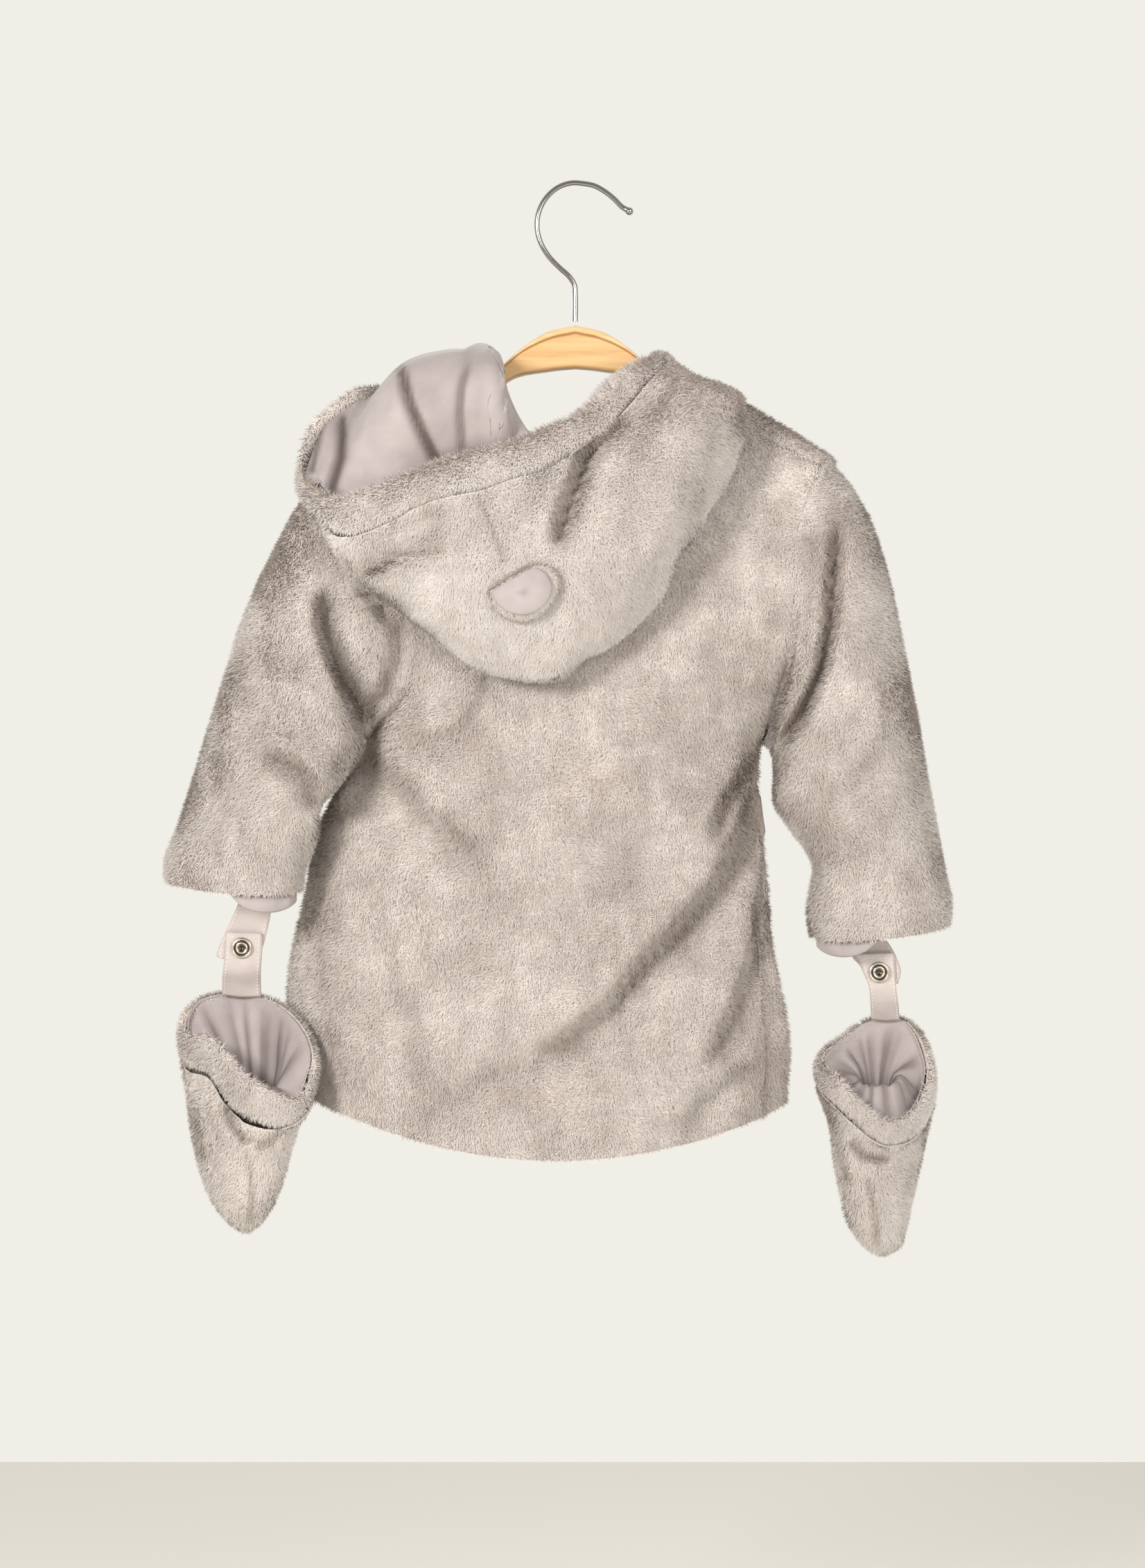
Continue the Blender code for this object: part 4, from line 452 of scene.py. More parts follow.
def through(knots, values, at):
    """A smooth curve through values at rising knots, read at the given places."""
    knots, values, at = np.asarray(knots, float), np.asarray(values, float), np.asarray(at, float)
    width = np.diff(knots)
    shape = (-1,) + (1,) * (values.ndim - 1)
    slope = np.diff(values, axis=0) / width.reshape(shape)
    before, after = width[:-1].reshape(shape), width[1:].reshape(shape)
    middle = (slope[:-1] * after + slope[1:] * before) / (before + after)
    tangent = np.concatenate([slope[:1], middle, slope[-1:]])
    cell = np.clip(np.searchsorted(knots, at, side="right") - 1, 0, len(width) - 1)
    t = ((at - knots[cell]) / width[cell]).reshape(shape)
    step = width[cell].reshape(shape)
    return ((1 + 2 * t) * (1 - t) ** 2 * values[cell] + t * (1 - t) ** 2 * step * tangent[cell]
            + t * t * (3 - 2 * t) * values[cell + 1] + t * t * (t - 1) * step * tangent[cell + 1])


def resampled(values, cells):
    """Values at even places along a smooth curve through the given ones."""
    count = len(values)
    return through(np.arange(count), values, np.linspace(0, count - 1, cells + 1))


def travelled(points):
    """How far along a line of points each of them lies."""
    return np.r_[0, np.cumsum(np.linalg.norm(np.diff(points, axis=0), axis=1))]


def unit(vectors, least=0.0):
    """The vectors at length 1; those shorter than least stay shorter."""
    return vectors / np.maximum(np.linalg.norm(vectors, axis=-1, keepdims=True), least)


def spaced(points, cells):
    """Points at even distances along a smooth curve through the given points."""
    points = np.asarray(points, float)
    knots = travelled(points)
    at = np.linspace(0, knots[-1], 24 * len(points))
    length = travelled(through(knots, points, at))
    even = np.interp(np.linspace(0, length[-1], cells + 1), length, at)
    result = through(knots, points, even)
    result[0], result[-1] = points[0], points[-1]
    return result


def round_share(cells):
    """Shares from 0 to 1 that lie closer at both ends, as even steps round a section."""
    return (1 - np.cos(np.pi * np.linspace(0, 1, cells + 1))) / 2


def swell(u, power=2.0):
    """0 at both ends and 1 in the middle, as a rounded section."""
    return (1 - np.abs(2 * u - 1) ** power) ** (1 / power)


def beside(line, column, row):
    """Distance from a line of grid points, positive on its left, and the share of its length."""
    line = np.asarray(line, float)
    best = np.full(column.shape, 1e9)
    side, along = np.zeros(column.shape), np.zeros(column.shape)
    lengths = np.linalg.norm(np.diff(line, axis=0), axis=1)
    before = np.r_[0, np.cumsum(lengths)]
    for start, end, length, done in zip(line, line[1:], lengths, before):
        way = (end - start) / length
        reach = np.clip((column - start[0]) * way[0] + (row - start[1]) * way[1], 0, length)
        off_column = column - start[0] - reach * way[0]
        off_row = row - start[1] - reach * way[1]
        distance = np.hypot(off_column, off_row)
        nearer = distance < best
        best = np.where(nearer, distance, best)
        left = np.where(off_column * way[1] - off_row * way[0] >= 0, 1.0, -1.0)
        side = np.where(nearer, distance * left, side)
        along = np.where(nearer, (done + reach) / before[-1], along)
    return side, along


def faded(along, fades):
    """1 along a line, and 0 towards its start and end."""
    return ease(along / fades[0]) * ease((1 - along) / fades[1])


def fold_height(folds, column, row):
    """Height in metres that the folds add at grid points."""
    height = np.zeros(column.shape)
    for _, line, rise, drop, rise_width, drop_width, edge in folds:
        side, along = beside(line, column, row)
        fade = faded(along, FOLD_FADES)
        high = rise * np.clip(1 - (side / rise_width) ** 2, 0, 1) ** 2
        low = -drop * np.clip(1 - (side / drop_width) ** 2, 0, 1) ** 2
        height += fade * (low + (high - low) * ease(0.5 + side / (2 * edge)))
    return np.clip(height, -HIGHEST, HIGHEST) * MM


def shared_normals(sheets):
    """Outward normals of each sheet's points, shared where sheets meet at a seam."""
    found, totals = {}, {}
    for name, points in sheets.items():
        across = points[1:, 1:] - points[:-1, :-1]
        along = points[:-1, 1:] - points[1:, :-1]
        face = np.cross(along, across)
        normal = np.zeros(points.shape)
        for rows in (slice(0, -1), slice(1, None)):
            for columns in (slice(0, -1), slice(1, None)):
                normal[rows, columns] += face
        found[name] = normal
        for key, value in zip(keys_of(points), normal.reshape(-1, 3)):
            totals[key] = totals.get(key, 0) + value
    for name, points in sheets.items():
        normal = np.array([totals[key] for key in keys_of(points)]).reshape(points.shape)
        found[name] = unit(normal, 1e-12)
    return found


def keys_of(points):
    return [tuple(key) for key in np.round(points.reshape(-1, 3) / (0.01 * MM)).astype(int)]


def even_pairs(table, cells, closed=False):
    """Pairs of edge points at even distances along a strip that a table gives by such pairs."""
    table = np.array(table, float)
    first, last = 0, len(table) - 1
    if closed:
        table = np.concatenate([table[-1:], table, table[:2]])
        first, last = 1, last + 2
    knots = np.arange(len(table))
    fine = np.linspace(first, last, 20 * len(table))
    middle = through(knots, table, fine).mean(axis=1)
    length = travelled(middle)
    at = np.interp(np.linspace(0, length[-1], cells + 1), length, fine)
    if closed:
        at = at[:-1]
    pairs = through(knots, table, at)
    return pairs[:, 0], pairs[:, 1], at - first


def roll_loops(tops, bottoms, thick, sides, closed=False):
    """Rounded sections of a roll whose outer face runs between its top and bottom edge.

    thick is one thickness or one for each section."""
    middle, height = (tops + bottoms) / 2, tops - bottoms
    way = np.roll(middle, -1, axis=0) - np.roll(middle, 1, axis=0) if closed else np.gradient(middle, axis=0)
    out = unit(np.cross(height, way))
    angle = 2 * np.pi * np.arange(sides) / sides
    up = (np.sign(np.cos(angle)) * np.abs(np.cos(angle)) ** ROUNDING)[:, None] / 2
    off = ((np.sign(np.sin(angle)) * np.abs(np.sin(angle)) ** ROUNDING)[:, None] - 1) / 2
    depth = (out * np.broadcast_to(thick, len(out))[:, None])[:, None]
    down = unit(np.cross(out, way))
    return middle[:, None] + height[:, None] * ROLL_FILL * up + depth * off, out, down


def narrowed(loops, shares):
    """The loops with a rounded end at each side, where they shrink to the given shares."""
    count = len(shares)
    for end in (slice(0, count), slice(-1, -1 - count, -1)):
        part = loops[end]
        middle = part.mean(axis=1, keepdims=True)
        loops[end] = middle + (part - middle) * np.array(shares)[:, None, None]
    return loops


def laid_on(tree, loop, lift):
    """A loop of grid points laid on a surface as seen from EYE, lifted towards it by mm."""
    laid = []
    for column, row in loop:
        way = seen(column, row, 0) - EYE
        hit = tree.ray_cast(EYE.tolist(), way.tolist())[0]
        laid.append(seen(column, row, hit[1] / MM - lift))
    return np.array(laid)


def tree_of(points):
    """A search tree of a sheet's faces."""
    rows, columns = points.shape[:2]
    faces = quads(np.arange(rows * columns).reshape(rows, columns))
    return BVHTree.FromPolygons(points.reshape(-1, 3).tolist(), faces.tolist())


def row_lines(table, cells):
    """Even rows between the left and right edges of a table, as points on the grid."""
    left = spaced([r[0] for r in table], cells)
    right = spaced([r[1] for r in table], cells)
    return left, right, resampled([float(r[2]) for r in table], cells)


def back_sheet():
    """The back: rows from hem to shoulders, from the left edge to the right one, on the grid."""
    low_left, low_right, low_middle = row_lines([r[1:4] for r in BODY_LOW], BODY_LOW_ROWS)
    high_left, high_right, high_middle = row_lines(ARMHOLE_BACK, ARMHOLE_ROWS)
    left = np.concatenate([low_left, high_left[1:]])
    right = np.concatenate([low_right, high_right[1:]])
    middle = np.concatenate([low_middle, high_middle[1:]])
    top = np.concatenate([spaced(SHOULDER_LEFT, SHOULDER_CELLS), spaced(NECK_BACK, NECK_CELLS)[1:],
                          spaced(SHOULDER_RIGHT, SHOULDER_CELLS)[::-1][1:]])
    low_share = round_share(len(top) - 1)
    top_share = (top[:, 0] - top[0, 0]) / (top[-1, 0] - top[0, 0])
    rise = np.clip((np.arange(len(left)) - BODY_LOW_ROWS) / ARMHOLE_ROWS, 0, 1)
    fall = np.clip(1 - np.arange(len(left)) / BODY_LOW_ROWS, 0, 1)
    share = low_share + ease(rise)[:, None] * (top_share - low_share)
    points = left[:, None] + (right - left)[:, None] * share[..., None]
    hollow = swell(share, BODY_SWELL)
    points[..., 2] += (middle[:, None] - points[..., 2]) * hollow
    points[..., 1] += HEM_MIDDLE * (fall ** 2)[:, None] * 4 * share * (1 - share)
    points += (rise ** 2)[:, None, None] * (top - points[-1])
    return points


def front_sheet(side):
    """One front: rows from hem to shoulder seam, from its side seam to its edge past the centre."""
    pick, sign, shoulder, neck = ((0, 1, SHOULDER_LEFT, NECK_FRONT_LEFT) if side == "left"
                                  else (1, -1, SHOULDER_RIGHT, NECK_FRONT_RIGHT))
    low = row_lines([r[1:3] + (r[4],) for r in BODY_LOW], BODY_LOW_ROWS)
    high = row_lines(ARMHOLE_FRONT[:-3], ARMHOLE_ROWS - OVER_ROWS)
    seam = np.concatenate([low[pick], high[pick][1:]])
    depth = np.concatenate([low[2], high[2][1:]]) + sign * LAP_DEPTH
    rise = np.clip((np.arange(len(seam)) - BODY_LOW_ROWS) / (ARMHOLE_ROWS - OVER_ROWS), 0, 1)
    fall = np.clip(1 - np.arange(len(seam)) / BODY_LOW_ROWS, 0, 1)
    ridge, crest, over, top = over_shoulder(pick, sign, shoulder, neck)
    even = np.linspace(0, 1, len(top))
    low_share = 1 - np.cos(np.pi / 2 * even)
    top_share = (top[:, 0] - top[0, 0]) / (top[-1, 0] - top[0, 0])
    share = low_share + ease(rise)[:, None] * (top_share - low_share)
    points = np.repeat(seam[:, None], len(top), axis=1)
    points[..., 0] += (CENTRE_COLUMN + sign * LAP - seam[:, 0])[:, None] * share
    hollow = (1 - (1 - share) ** BODY_SWELL) ** (1 / BODY_SWELL)
    points[..., 2] += (depth - seam[:, 2])[:, None] * hollow
    out = np.exp(-((even - TURN_AT) / TURN_WIDE) ** 2) * ease(even / TURN_START)
    for axis, reach in enumerate(SIDE_TURN[pick]):
        points[..., axis] += reach * ease(fall * 1.1)[:, None] * out
    points[..., 1] += HEM_FRONT * (fall ** 2)[:, None] * (1 - (1 - share) ** 2)
    points += (rise ** 2)[:, None, None] * (over - points[-1])
    turn = resampled(np.array([over, crest, ridge, top]), OVER_ROWS)
    return np.concatenate([points, turn[1:]])


def over_shoulder(pick, sign, shoulder, neck):
    """The rows on which a front turns over the shoulder: ridge, crest, over, and its top edge."""
    neck_side = np.concatenate([neck[:NECK_TURN], spaced(neck[NECK_TURN:], FRONT_CELLS - NECK_TURN)])
    top = np.concatenate([spaced(shoulder, SHOULDER_CELLS), neck_side[1:]])
    count = np.arange(len(top))
    rise = np.interp(count / SHOULDER_CELLS, *np.array(SHOULDER_RISE[pick]).T)
    aside = np.where(count == SHOULDER_CELLS, -NECK_ASIDE * sign, 0)
    on, at_crest = (count <= SHOULDER_CELLS)[:, None], (count == SHOULDER_CELLS + 1)[:, None]
    made = []
    for place_on, (rows, forward, crest_row, crest_forward, neck_row, neck_forward) in enumerate(TURN_ROWS):
        line = top + np.where(on, np.stack([aside, rows - rise, forward + 0 * rise], axis=1),
                              np.where(at_crest, (0, crest_row, crest_forward), (0, neck_row, neck_forward)))
        line[0] = ARMHOLE_FRONT[-2 - place_on][pick]
        made.append(line)
    return *made, top


def section(start, end, share, swells, dips, power=2.0):
    """A tube's section on the grid: behind from its start to its end, then back in front.

    swells and dips say how far each half moves in depth and in rows."""
    line = np.array(start, float) + np.outer(share, np.subtract(end, start))
    halves = []
    for depth, dip in zip(swells, dips):
        half = line.copy()
        half[:, 2] += depth * swell(share, power)
        half[:, 1] += dip * swell(share)
        halves.append(half)
    return np.concatenate([halves[0], halves[1][::-1][1:]])


def lofted(sections, rows):
    """Sections at even distances along a smooth tube through the given ones."""
    sections = np.array(sections)
    gaps = np.linalg.norm(np.diff(sections, axis=0), axis=2).mean(axis=1)
    knots = np.r_[0, np.cumsum(gaps)]
    return through(knots, sections, np.linspace(0, knots[-1], rows + 1))


def sleeve_sheet(table, seam_behind, seam_front, dip):
    """A sleeve: rows from the armhole to the cuff, and round from the shoulder behind to the front."""
    share = round_share(len(seam_behind) - 1)
    loops = [np.concatenate([seam_behind[::-1], seam_front[1:]])]
    for place_on, (outer, inner, behind, ahead) in enumerate(table):
        drop = dip * (place_on / (len(table) - 1)) ** 3
        loops.append(section(outer, inner, share, (-behind, ahead), (drop, -drop), SLEEVE_SWELL))
    return lofted(loops, SLEEVE_ROWS)


def hood_sheet():
    """The hood's bag: rows along each section, from the rim seam to the end, columns from the left."""
    lines = resampled(HOOD, HOOD_ACROSS)
    return np.array([spaced(line, HOOD_ALONG) for line in lines]).transpose(1, 0, 2)


# ---- meshes ----------------------------------------------------------------------------------

def finer(points, times=FINER):
    """A grid of points with more cells, along smooth curves."""
    for axis in (0, 1):
        points = np.moveaxis(points, axis, 0)
        points = np.moveaxis(resampled(points, times * (len(points) - 1)), 0, axis)
    return points


def ringed(grid):
    """A grid closed to a ring, whose last column is its first again."""
    return np.concatenate([grid, grid[:, :1]], axis=1)


def capped(grid):
    """A grid with one more row that draws together at the middle of its last one."""
    return np.concatenate([grid, np.broadcast_to(grid[-1].mean(axis=0), grid[-1:].shape)])


def crease_shade(folds, column, row):
    """How deep in a crease grid points lie, from 0 to 1: how much painted shade they get."""
    deep = np.zeros(column.shape)
    for _, line, _, drop, _, drop_width, edge in folds:
        side, along = beside(line, column, row)
        fade = faded(along, CREASE_SHADE_FADES) * min(1, drop / SHADE_DROP) * min(1, SHADE_EDGE / edge)
        reach = (side + SHADE_AT * edge) / (SHADE_WIDE * edge + SHADE_REACH * drop_width)
        deep = np.maximum(deep, fade * np.exp(-reach ** 2))
    return deep


def dress(thing, name, values):
    """Give a piece's points an attribute that its material reads."""
    layer = thing.data.attributes.new(name, "FLOAT", "POINT")
    layer.data.foreach_set("value", np.asarray(values, np.float32).ravel())


def noise(points, size, seed):
    """Smooth noise from -1 to 1 at points, with swells about as far apart as size."""
    rng = np.random.default_rng(seed)
    total = np.zeros(points.shape[:-1])
    for _ in range(7):
        way = rng.normal(size=3)
        way *= 2 * math.pi / (size * rng.uniform(0.7, 1.6) * np.linalg.norm(way))
        total += np.sin(points @ way + rng.uniform(0, 2 * math.pi))
    return total / 3.2


def quads(index):
    """The four-sided faces of a grid of vertex numbers."""
    return np.stack([index[:-1, :-1], index[:-1, 1:], index[1:, 1:], index[1:, :-1]], axis=-1).reshape(-1, 4)


def ring_faces(rows, columns):
    """The faces of a grid of vertices whose last column joins its first."""
    return quads(ringed(np.arange(rows * columns).reshape(rows, columns)))


def linked(name, data):
    """A new object in the scene."""
    thing = bpy.data.objects.new(name, data)
    bpy.context.scene.collection.objects.link(thing)
    return thing


def mesh_piece(name, spots, faces, look, nodes=()):
    """A piece of the given vertices and faces, which rides on the coat's one body."""
    mesh = bpy.data.meshes.new(name)
    faces = np.asarray(faces)
    size = faces.shape[1]
    mesh.vertices.add(len(spots))
    mesh.vertices.foreach_set("co", np.asarray(spots, np.float32).ravel())
    mesh.loops.add(faces.size)
    mesh.loops.foreach_set("vertex_index", faces.astype(np.int32).ravel())
    mesh.polygons.add(len(faces))
    mesh.polygons.foreach_set("loop_start", np.arange(0, faces.size, size, dtype=np.int32))
    mesh.update()
    mesh.polygons.foreach_set("use_smooth", np.full(len(faces), True))
    mesh.materials.append(look)
    thing = linked(name, mesh)
    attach(thing, "root")
    if nodes:
        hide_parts(*nodes)
    return thing


def grid_uv(thing, index, grid):
    """The OFBake map, from the grid's own rows and columns."""
    layer = thing.data.uv_layers.new(name="OFBake")
    rows, columns = grid
    spots = np.zeros(len(thing.data.loops), np.int32)
    thing.data.loops.foreach_get("vertex_index", spots)
    at = index[spots]
    uv = np.stack([at % columns / max(columns - 1, 1), at // columns / max(rows - 1, 1)], axis=1)
    layer.data.foreach_set("uv", (0.02 + 0.96 * uv).astype(np.float32).ravel())


def shell(name, outer, inner, look, nodes=(), ring=False, painted_shade=None):
    """A thin wall between two grids of points; in a ring the last column is the first again."""
    painted_shade = np.zeros(outer.shape[:2]) if painted_shade is None else painted_shade
    if ring:
        outer, inner, painted_shade = outer[:, :-1], inner[:, :-1], painted_shade[:, :-1]
    rows, columns = outer.shape[:2]
    count = rows * columns
    index = np.arange(count).reshape(rows, columns)
    if ring:
        index = ringed(index)
    edges = [index[0], index[-1][::-1]]
    if not ring:
        edges += [index[:, -1], index[:, 0][::-1]]
    faces = [quads(index), quads(index + count)[:, ::-1]]
    faces += [np.stack([line[1:], line[:-1], line[:-1] + count, line[1:] + count], axis=1) for line in edges]
    spots = np.concatenate([outer.reshape(-1, 3), inner.reshape(-1, 3)])
    thing = mesh_piece(name, spots, np.concatenate(faces), look, nodes)
    grid_uv(thing, np.tile(np.arange(count), 2), (rows, columns))
    # painted shade in creases, read by the material
    dress(thing, "crease_shade", np.tile(painted_shade.ravel(), 2))
    return thing


def cloth(name, points, normals, look, nodes=(), ring=False, sunk=PILE_ROOT, thick=CLOTH_THICK,
          painted_shade=None):
    """The cloth under the pile: a thin shell sunk into its solid by the pile's depth."""
    outer = points - sunk * normals
    return shell(name, outer, outer - thick * normals, look, nodes, ring, painted_shade)


def pile(name, points, normals, count, look, seed, fall=(0, 0, -1), length=PILE_LENGTH, weight=None,
         sunk=PILE_ROOT, painted_shade=None):
    """Combed tufts over a grid of points, one triangle each, that lie along the cloth and clump."""
    rng = np.random.default_rng(seed)
    corner = points - sunk * normals
    rows, columns = points.shape[0] - 1, points.shape[1] - 1
    a, b, c, d = corner[:-1, :-1], corner[:-1, 1:], corner[1:, 1:], corner[1:, :-1]
    area = np.linalg.norm(np.cross(c - a, d - b), axis=-1) / 2
    share = area if weight is None else area * weight
    chosen = rng.choice(area.size, size=count, p=(share / share.sum()).ravel())
    row, column = chosen // columns, chosen % columns
    u, v = rng.random(count), rng.random(count)

    def blend(values):
        low = values[row, column] * (1 - u)[:, None] + values[row, column + 1] * u[:, None]
        high = values[row + 1, column] * (1 - u)[:, None] + values[row + 1, column + 1] * u[:, None]
        return low * (1 - v)[:, None] + high * v[:, None]

    root, out = blend(corner), unit(blend(normals))
    painted_shade = np.zeros(count) if painted_shade is None else blend(painted_shade[..., None])[:, 0]
    turn = BROAD_SWIRL * noise(root, BROAD_SIZE, seed + 1) + SMALL_SWIRL * noise(root, SMALL_SIZE, seed + 2)
    turn += rng.normal(0, TURN_SPREAD, count)
    way = np.asarray(fall, float) + WAY_SPREAD * rng.normal(size=(count, 3))
    way = unit(way - (way * out).sum(axis=1, keepdims=True) * out, 1e-6)
    aside = np.cross(out, way)
    way = way * np.cos(turn)[:, None] + aside * np.sin(turn)[:, None]
    lift = np.radians(LIFT + LIFT_SWELL * noise(root, 24 * MM, seed + 3) + rng.normal(0, LIFT_SPREAD, count))
    lift = np.clip(lift, *LIFT_BOUNDS)
    reach = length * np.clip(rng.normal(1, LENGTH_SPREAD, count), *LENGTH_BOUNDS)[:, None]
    tip = root + reach * (way * np.cos(lift)[:, None] + out * np.sin(lift)[:, None])
    cell = CLUMP * (1 + 0.25 * noise(root, 30 * MM, seed + 4))[:, None]
    key = np.floor((root + CLUMP_BLUR * rng.normal(0, 0.12, (count, 3))) / cell)
    hashed = np.sin(key @ HASH) * HASH_SCALE
    centre = (key + 0.5 + 0.7 * (hashed - np.floor(hashed) - 0.5)) * cell
    pull = centre - root
    pull -= (pull * out).sum(axis=1, keepdims=True) * out
    tip += CLUMPING * pull
    side = np.cross(out, tip - root)
    size = np.maximum(np.linalg.norm(side, axis=1), 1e-9)
    side *= (PILE_WIDE * rng.uniform(0.7, 1.3, count) / 2 / size)[:, None]
    spots = np.stack([root + side, root - side, tip], axis=1).reshape(-1, 3)
    thing = mesh_piece(name, spots, np.arange(3 * count).reshape(-1, 3), look)
    tone = rng.normal(0, 0.05, count) + 0.10 * noise(root, 9 * MM, seed + 5)
    # each tuft is painted darker at its root than at its tip as painted shade deep in the pile; tone adds
    # random colour of its own
    shade = np.stack([np.clip(ROOT_SHADE_TONE + tone, 0, 1)] * 2 + [np.clip(TIP_TONE + tone, 0, 1)], axis=1)
    dress(thing, "pile", shade)
    # painted shade in creases, read by the material
    dress(thing, "crease_shade", np.repeat(painted_shade, 3))
    combed = np.stack([0.1 * way] * 2 + [0.25 * way], axis=1)
    soft = unit(out[:, None] + combed + 0.07 * rng.normal(size=(count, 1, 3)))
    thing.data.normals_split_custom_set_from_vertices(soft.reshape(-1, 3).astype(np.float32))
    layer = thing.data.uv_layers.new(name="OFBake")
    uv = np.stack([(column + u) / columns, (row + v) / rows], axis=1)
    uv = np.repeat(uv[:, None], 3, axis=1) + np.array([[0, 0], [0.0008, 0], [0, 0.0008]])
    layer.data.foreach_set("uv", np.clip(uv, 0, 1).astype(np.float32).ravel())
    return thing


def plush(name, node, points, normals, looks, seed, held=None, side="", ring=False, deep=PILE_ROOT,
          painted_shade=None, **tufts):
    """A piece of plush: its cloth and the pile on it. held is not used."""
    made = cloth(name + "_cloth" + side, points, normals, looks[0], [node], ring=ring, sunk=deep,
                 painted_shade=painted_shade)
    fur = pile(name + "_pile" + side, points, normals, TUFTS[name], looks[1], seed, painted_shade=painted_shade, **tufts)
    return made


def outward(points, normals, centre):
    """Normals turned to point away from the given centres."""
    return normals if ((points - centre) * normals).sum() > 0 else -normals


def facing(normals, way=-1):
    """1 where the cloth faces the viewer, or with way 1 away from the viewer, and 0 past its edge."""
    return np.clip(way * FACING * normals[..., 1], 0, 1)


def in_sight(normals, steep, level):
    """How much pile each cell gets: more where it faces the viewer."""
    return np.clip(level - steep * normals[:-1, :-1, 1], 0, 1)


def ring_normals(points):
    """Normals of a grid whose last column is its first again, pointing out of it."""
    padded = np.concatenate([points[:, -2:-1], points, points[:, 1:2]], axis=1)
    normals = shared_normals({"ring": padded})["ring"][:, 1:-1]
    return outward(points, normals, points[:, :-1].mean(axis=1, keepdims=True))


# ---- materials -------------------------------------------------------------------------------

class Look:
    """A material's node tree, built step by step."""

    def __init__(self, name, roughness, metallic=0.0, sheen=0.0):
        self.material = bpy.data.materials.new(name)
        self.material.use_nodes = True
        self.tree = self.material.node_tree
        self.shader = self.tree.nodes["Principled BSDF"]
        self.set(self.shader, Roughness=roughness, Metallic=metallic)
        self.shader.inputs["Sheen Weight"].default_value = sheen
        self.shader.inputs["Sheen Roughness"].default_value = 0.5
        self.place = self.add("ShaderNodeTexCoord").outputs["Object"]

    def add(self, kind, **inputs):
        node = self.tree.nodes.new(kind)
        return self.set(node, **inputs)

    def feed(self, socket, value):
        """Link another node's output to a socket, or give the socket a value."""
        if hasattr(value, "is_output"):
            self.tree.links.new(value, socket)
        else:
            socket.default_value = value

    def set(self, node, **inputs):
        for name, value in inputs.items():
            self.feed(node.inputs[name.replace("_", " ")], value)
        return node

    def noise(self, scale, detail=3.0, roughness=0.55, stretch=None):
        vector = self.place
        if stretch:
            vector = self.add("ShaderNodeMapping", Vector=self.place, Scale=stretch).outputs[0]
        return self.add("ShaderNodeTexNoise", Vector=vector, Scale=scale, Detail=detail,
                        Roughness=roughness).outputs["Fac"]

    def ramp(self, value, *stops):
        node = self.add("ShaderNodeValToRGB", Fac=value)
        elements = node.color_ramp.elements
        for place_on, (at, colour) in enumerate(stops):
            element = elements[place_on] if place_on < 2 else elements.new(at)
            element.position, element.color = at, (*colour, 1)
        return node.outputs["Color"]

    def mix(self, share, one, two, kind="MIX"):
        node = self.tree.nodes.new("ShaderNodeMix")
        node.data_type, node.blend_type = "RGBA", kind
        for socket, value in ((0, share), (6, one), (7, two)):
            self.feed(node.inputs[socket], (*value, 1) if isinstance(value, tuple) else value)
        return node.outputs[2]

    def attribute(self, name):
        node = self.tree.nodes.new("ShaderNodeAttribute")
        node.attribute_name = name
        return node.outputs["Fac"]

    def with_crease_shade(self, colour, painted_shade):
        """The colour with painted shade, darker where the piece lies in a crease."""
        shade = self.ramp(self.attribute("crease_shade"), (0.0, (1, 1, 1)), (1.0, painted_shade))
        return self.mix(1.0, colour, shade, "MULTIPLY")

    def math(self, kind, one, two=0.0):
        node = self.tree.nodes.new("ShaderNodeMath")
        node.operation = kind
        for socket, value in ((0, one), (1, two)):
            self.feed(node.inputs[socket], value)
        return node.outputs[0]

    def finish(self, colour, height=None, depth=0.2 * MM, strength=1.0):
        self.set(self.shader, Base_Color=colour)
        if height is not None:
            bump = self.add("ShaderNodeBump", Height=height, Distance=depth, Strength=strength)
            self.set(self.shader, Normal=bump.outputs[0])
        return self.material


def plush_look(name, painted_shade, light, tufts=True):
    """Dense soft pile: patches painted lighter and darker where the brushed nap catches or loses the light
    (painted sheen and shade), over a fine grain, with small partings painted dark as painted shade.
    """
    look = Look(name, 0.9, sheen=0.35)
    # patches of painted sheen and painted shade where the brushed nap lies differently
    sheen_patches = look.noise(26, 3, 0.6, stretch=(1.0, 1.0, 0.7))
    sheen_smears = look.noise(60, 4, 0.65, stretch=(1.0, 1.0, 0.45))
    nap_sheen = look.math("ADD", look.math("MULTIPLY", sheen_patches, 0.6), look.math("MULTIPLY", sheen_smears, 0.4))
    colour = look.ramp(nap_sheen, (0.36, painted_shade), (0.62, light))
    grain = look.noise(620, 2, 0.5, stretch=(1.0, 1.0, 0.45))
    # painted shade in creases
    colour = look.with_crease_shade(colour, (0.56, 0.51, 0.47))
    if tufts:
        # tufts painted darker towards the root and a little lighter at the tip: painted shade deep in the
        # pile
        deep = look.ramp(look.attribute("pile"), (0.2, (0.84, 0.81, 0.79)), (0.85, (1.04, 1.04, 1.04)))
        return look.finish(look.mix(1.0, colour, deep, "MULTIPLY"))
    # the cloth under the pile painted darker, most where the grain parts: painted shade at the bottom of the
    # pile
    parting_shade = look.ramp(grain, (0.30, (0.46, 0.41, 0.37)), (0.46, (0.70, 0.67, 0.65)))
    return look.finish(look.mix(1.0, colour, parting_shade, "MULTIPLY"), grain, 1.2 * MM, 0.6)


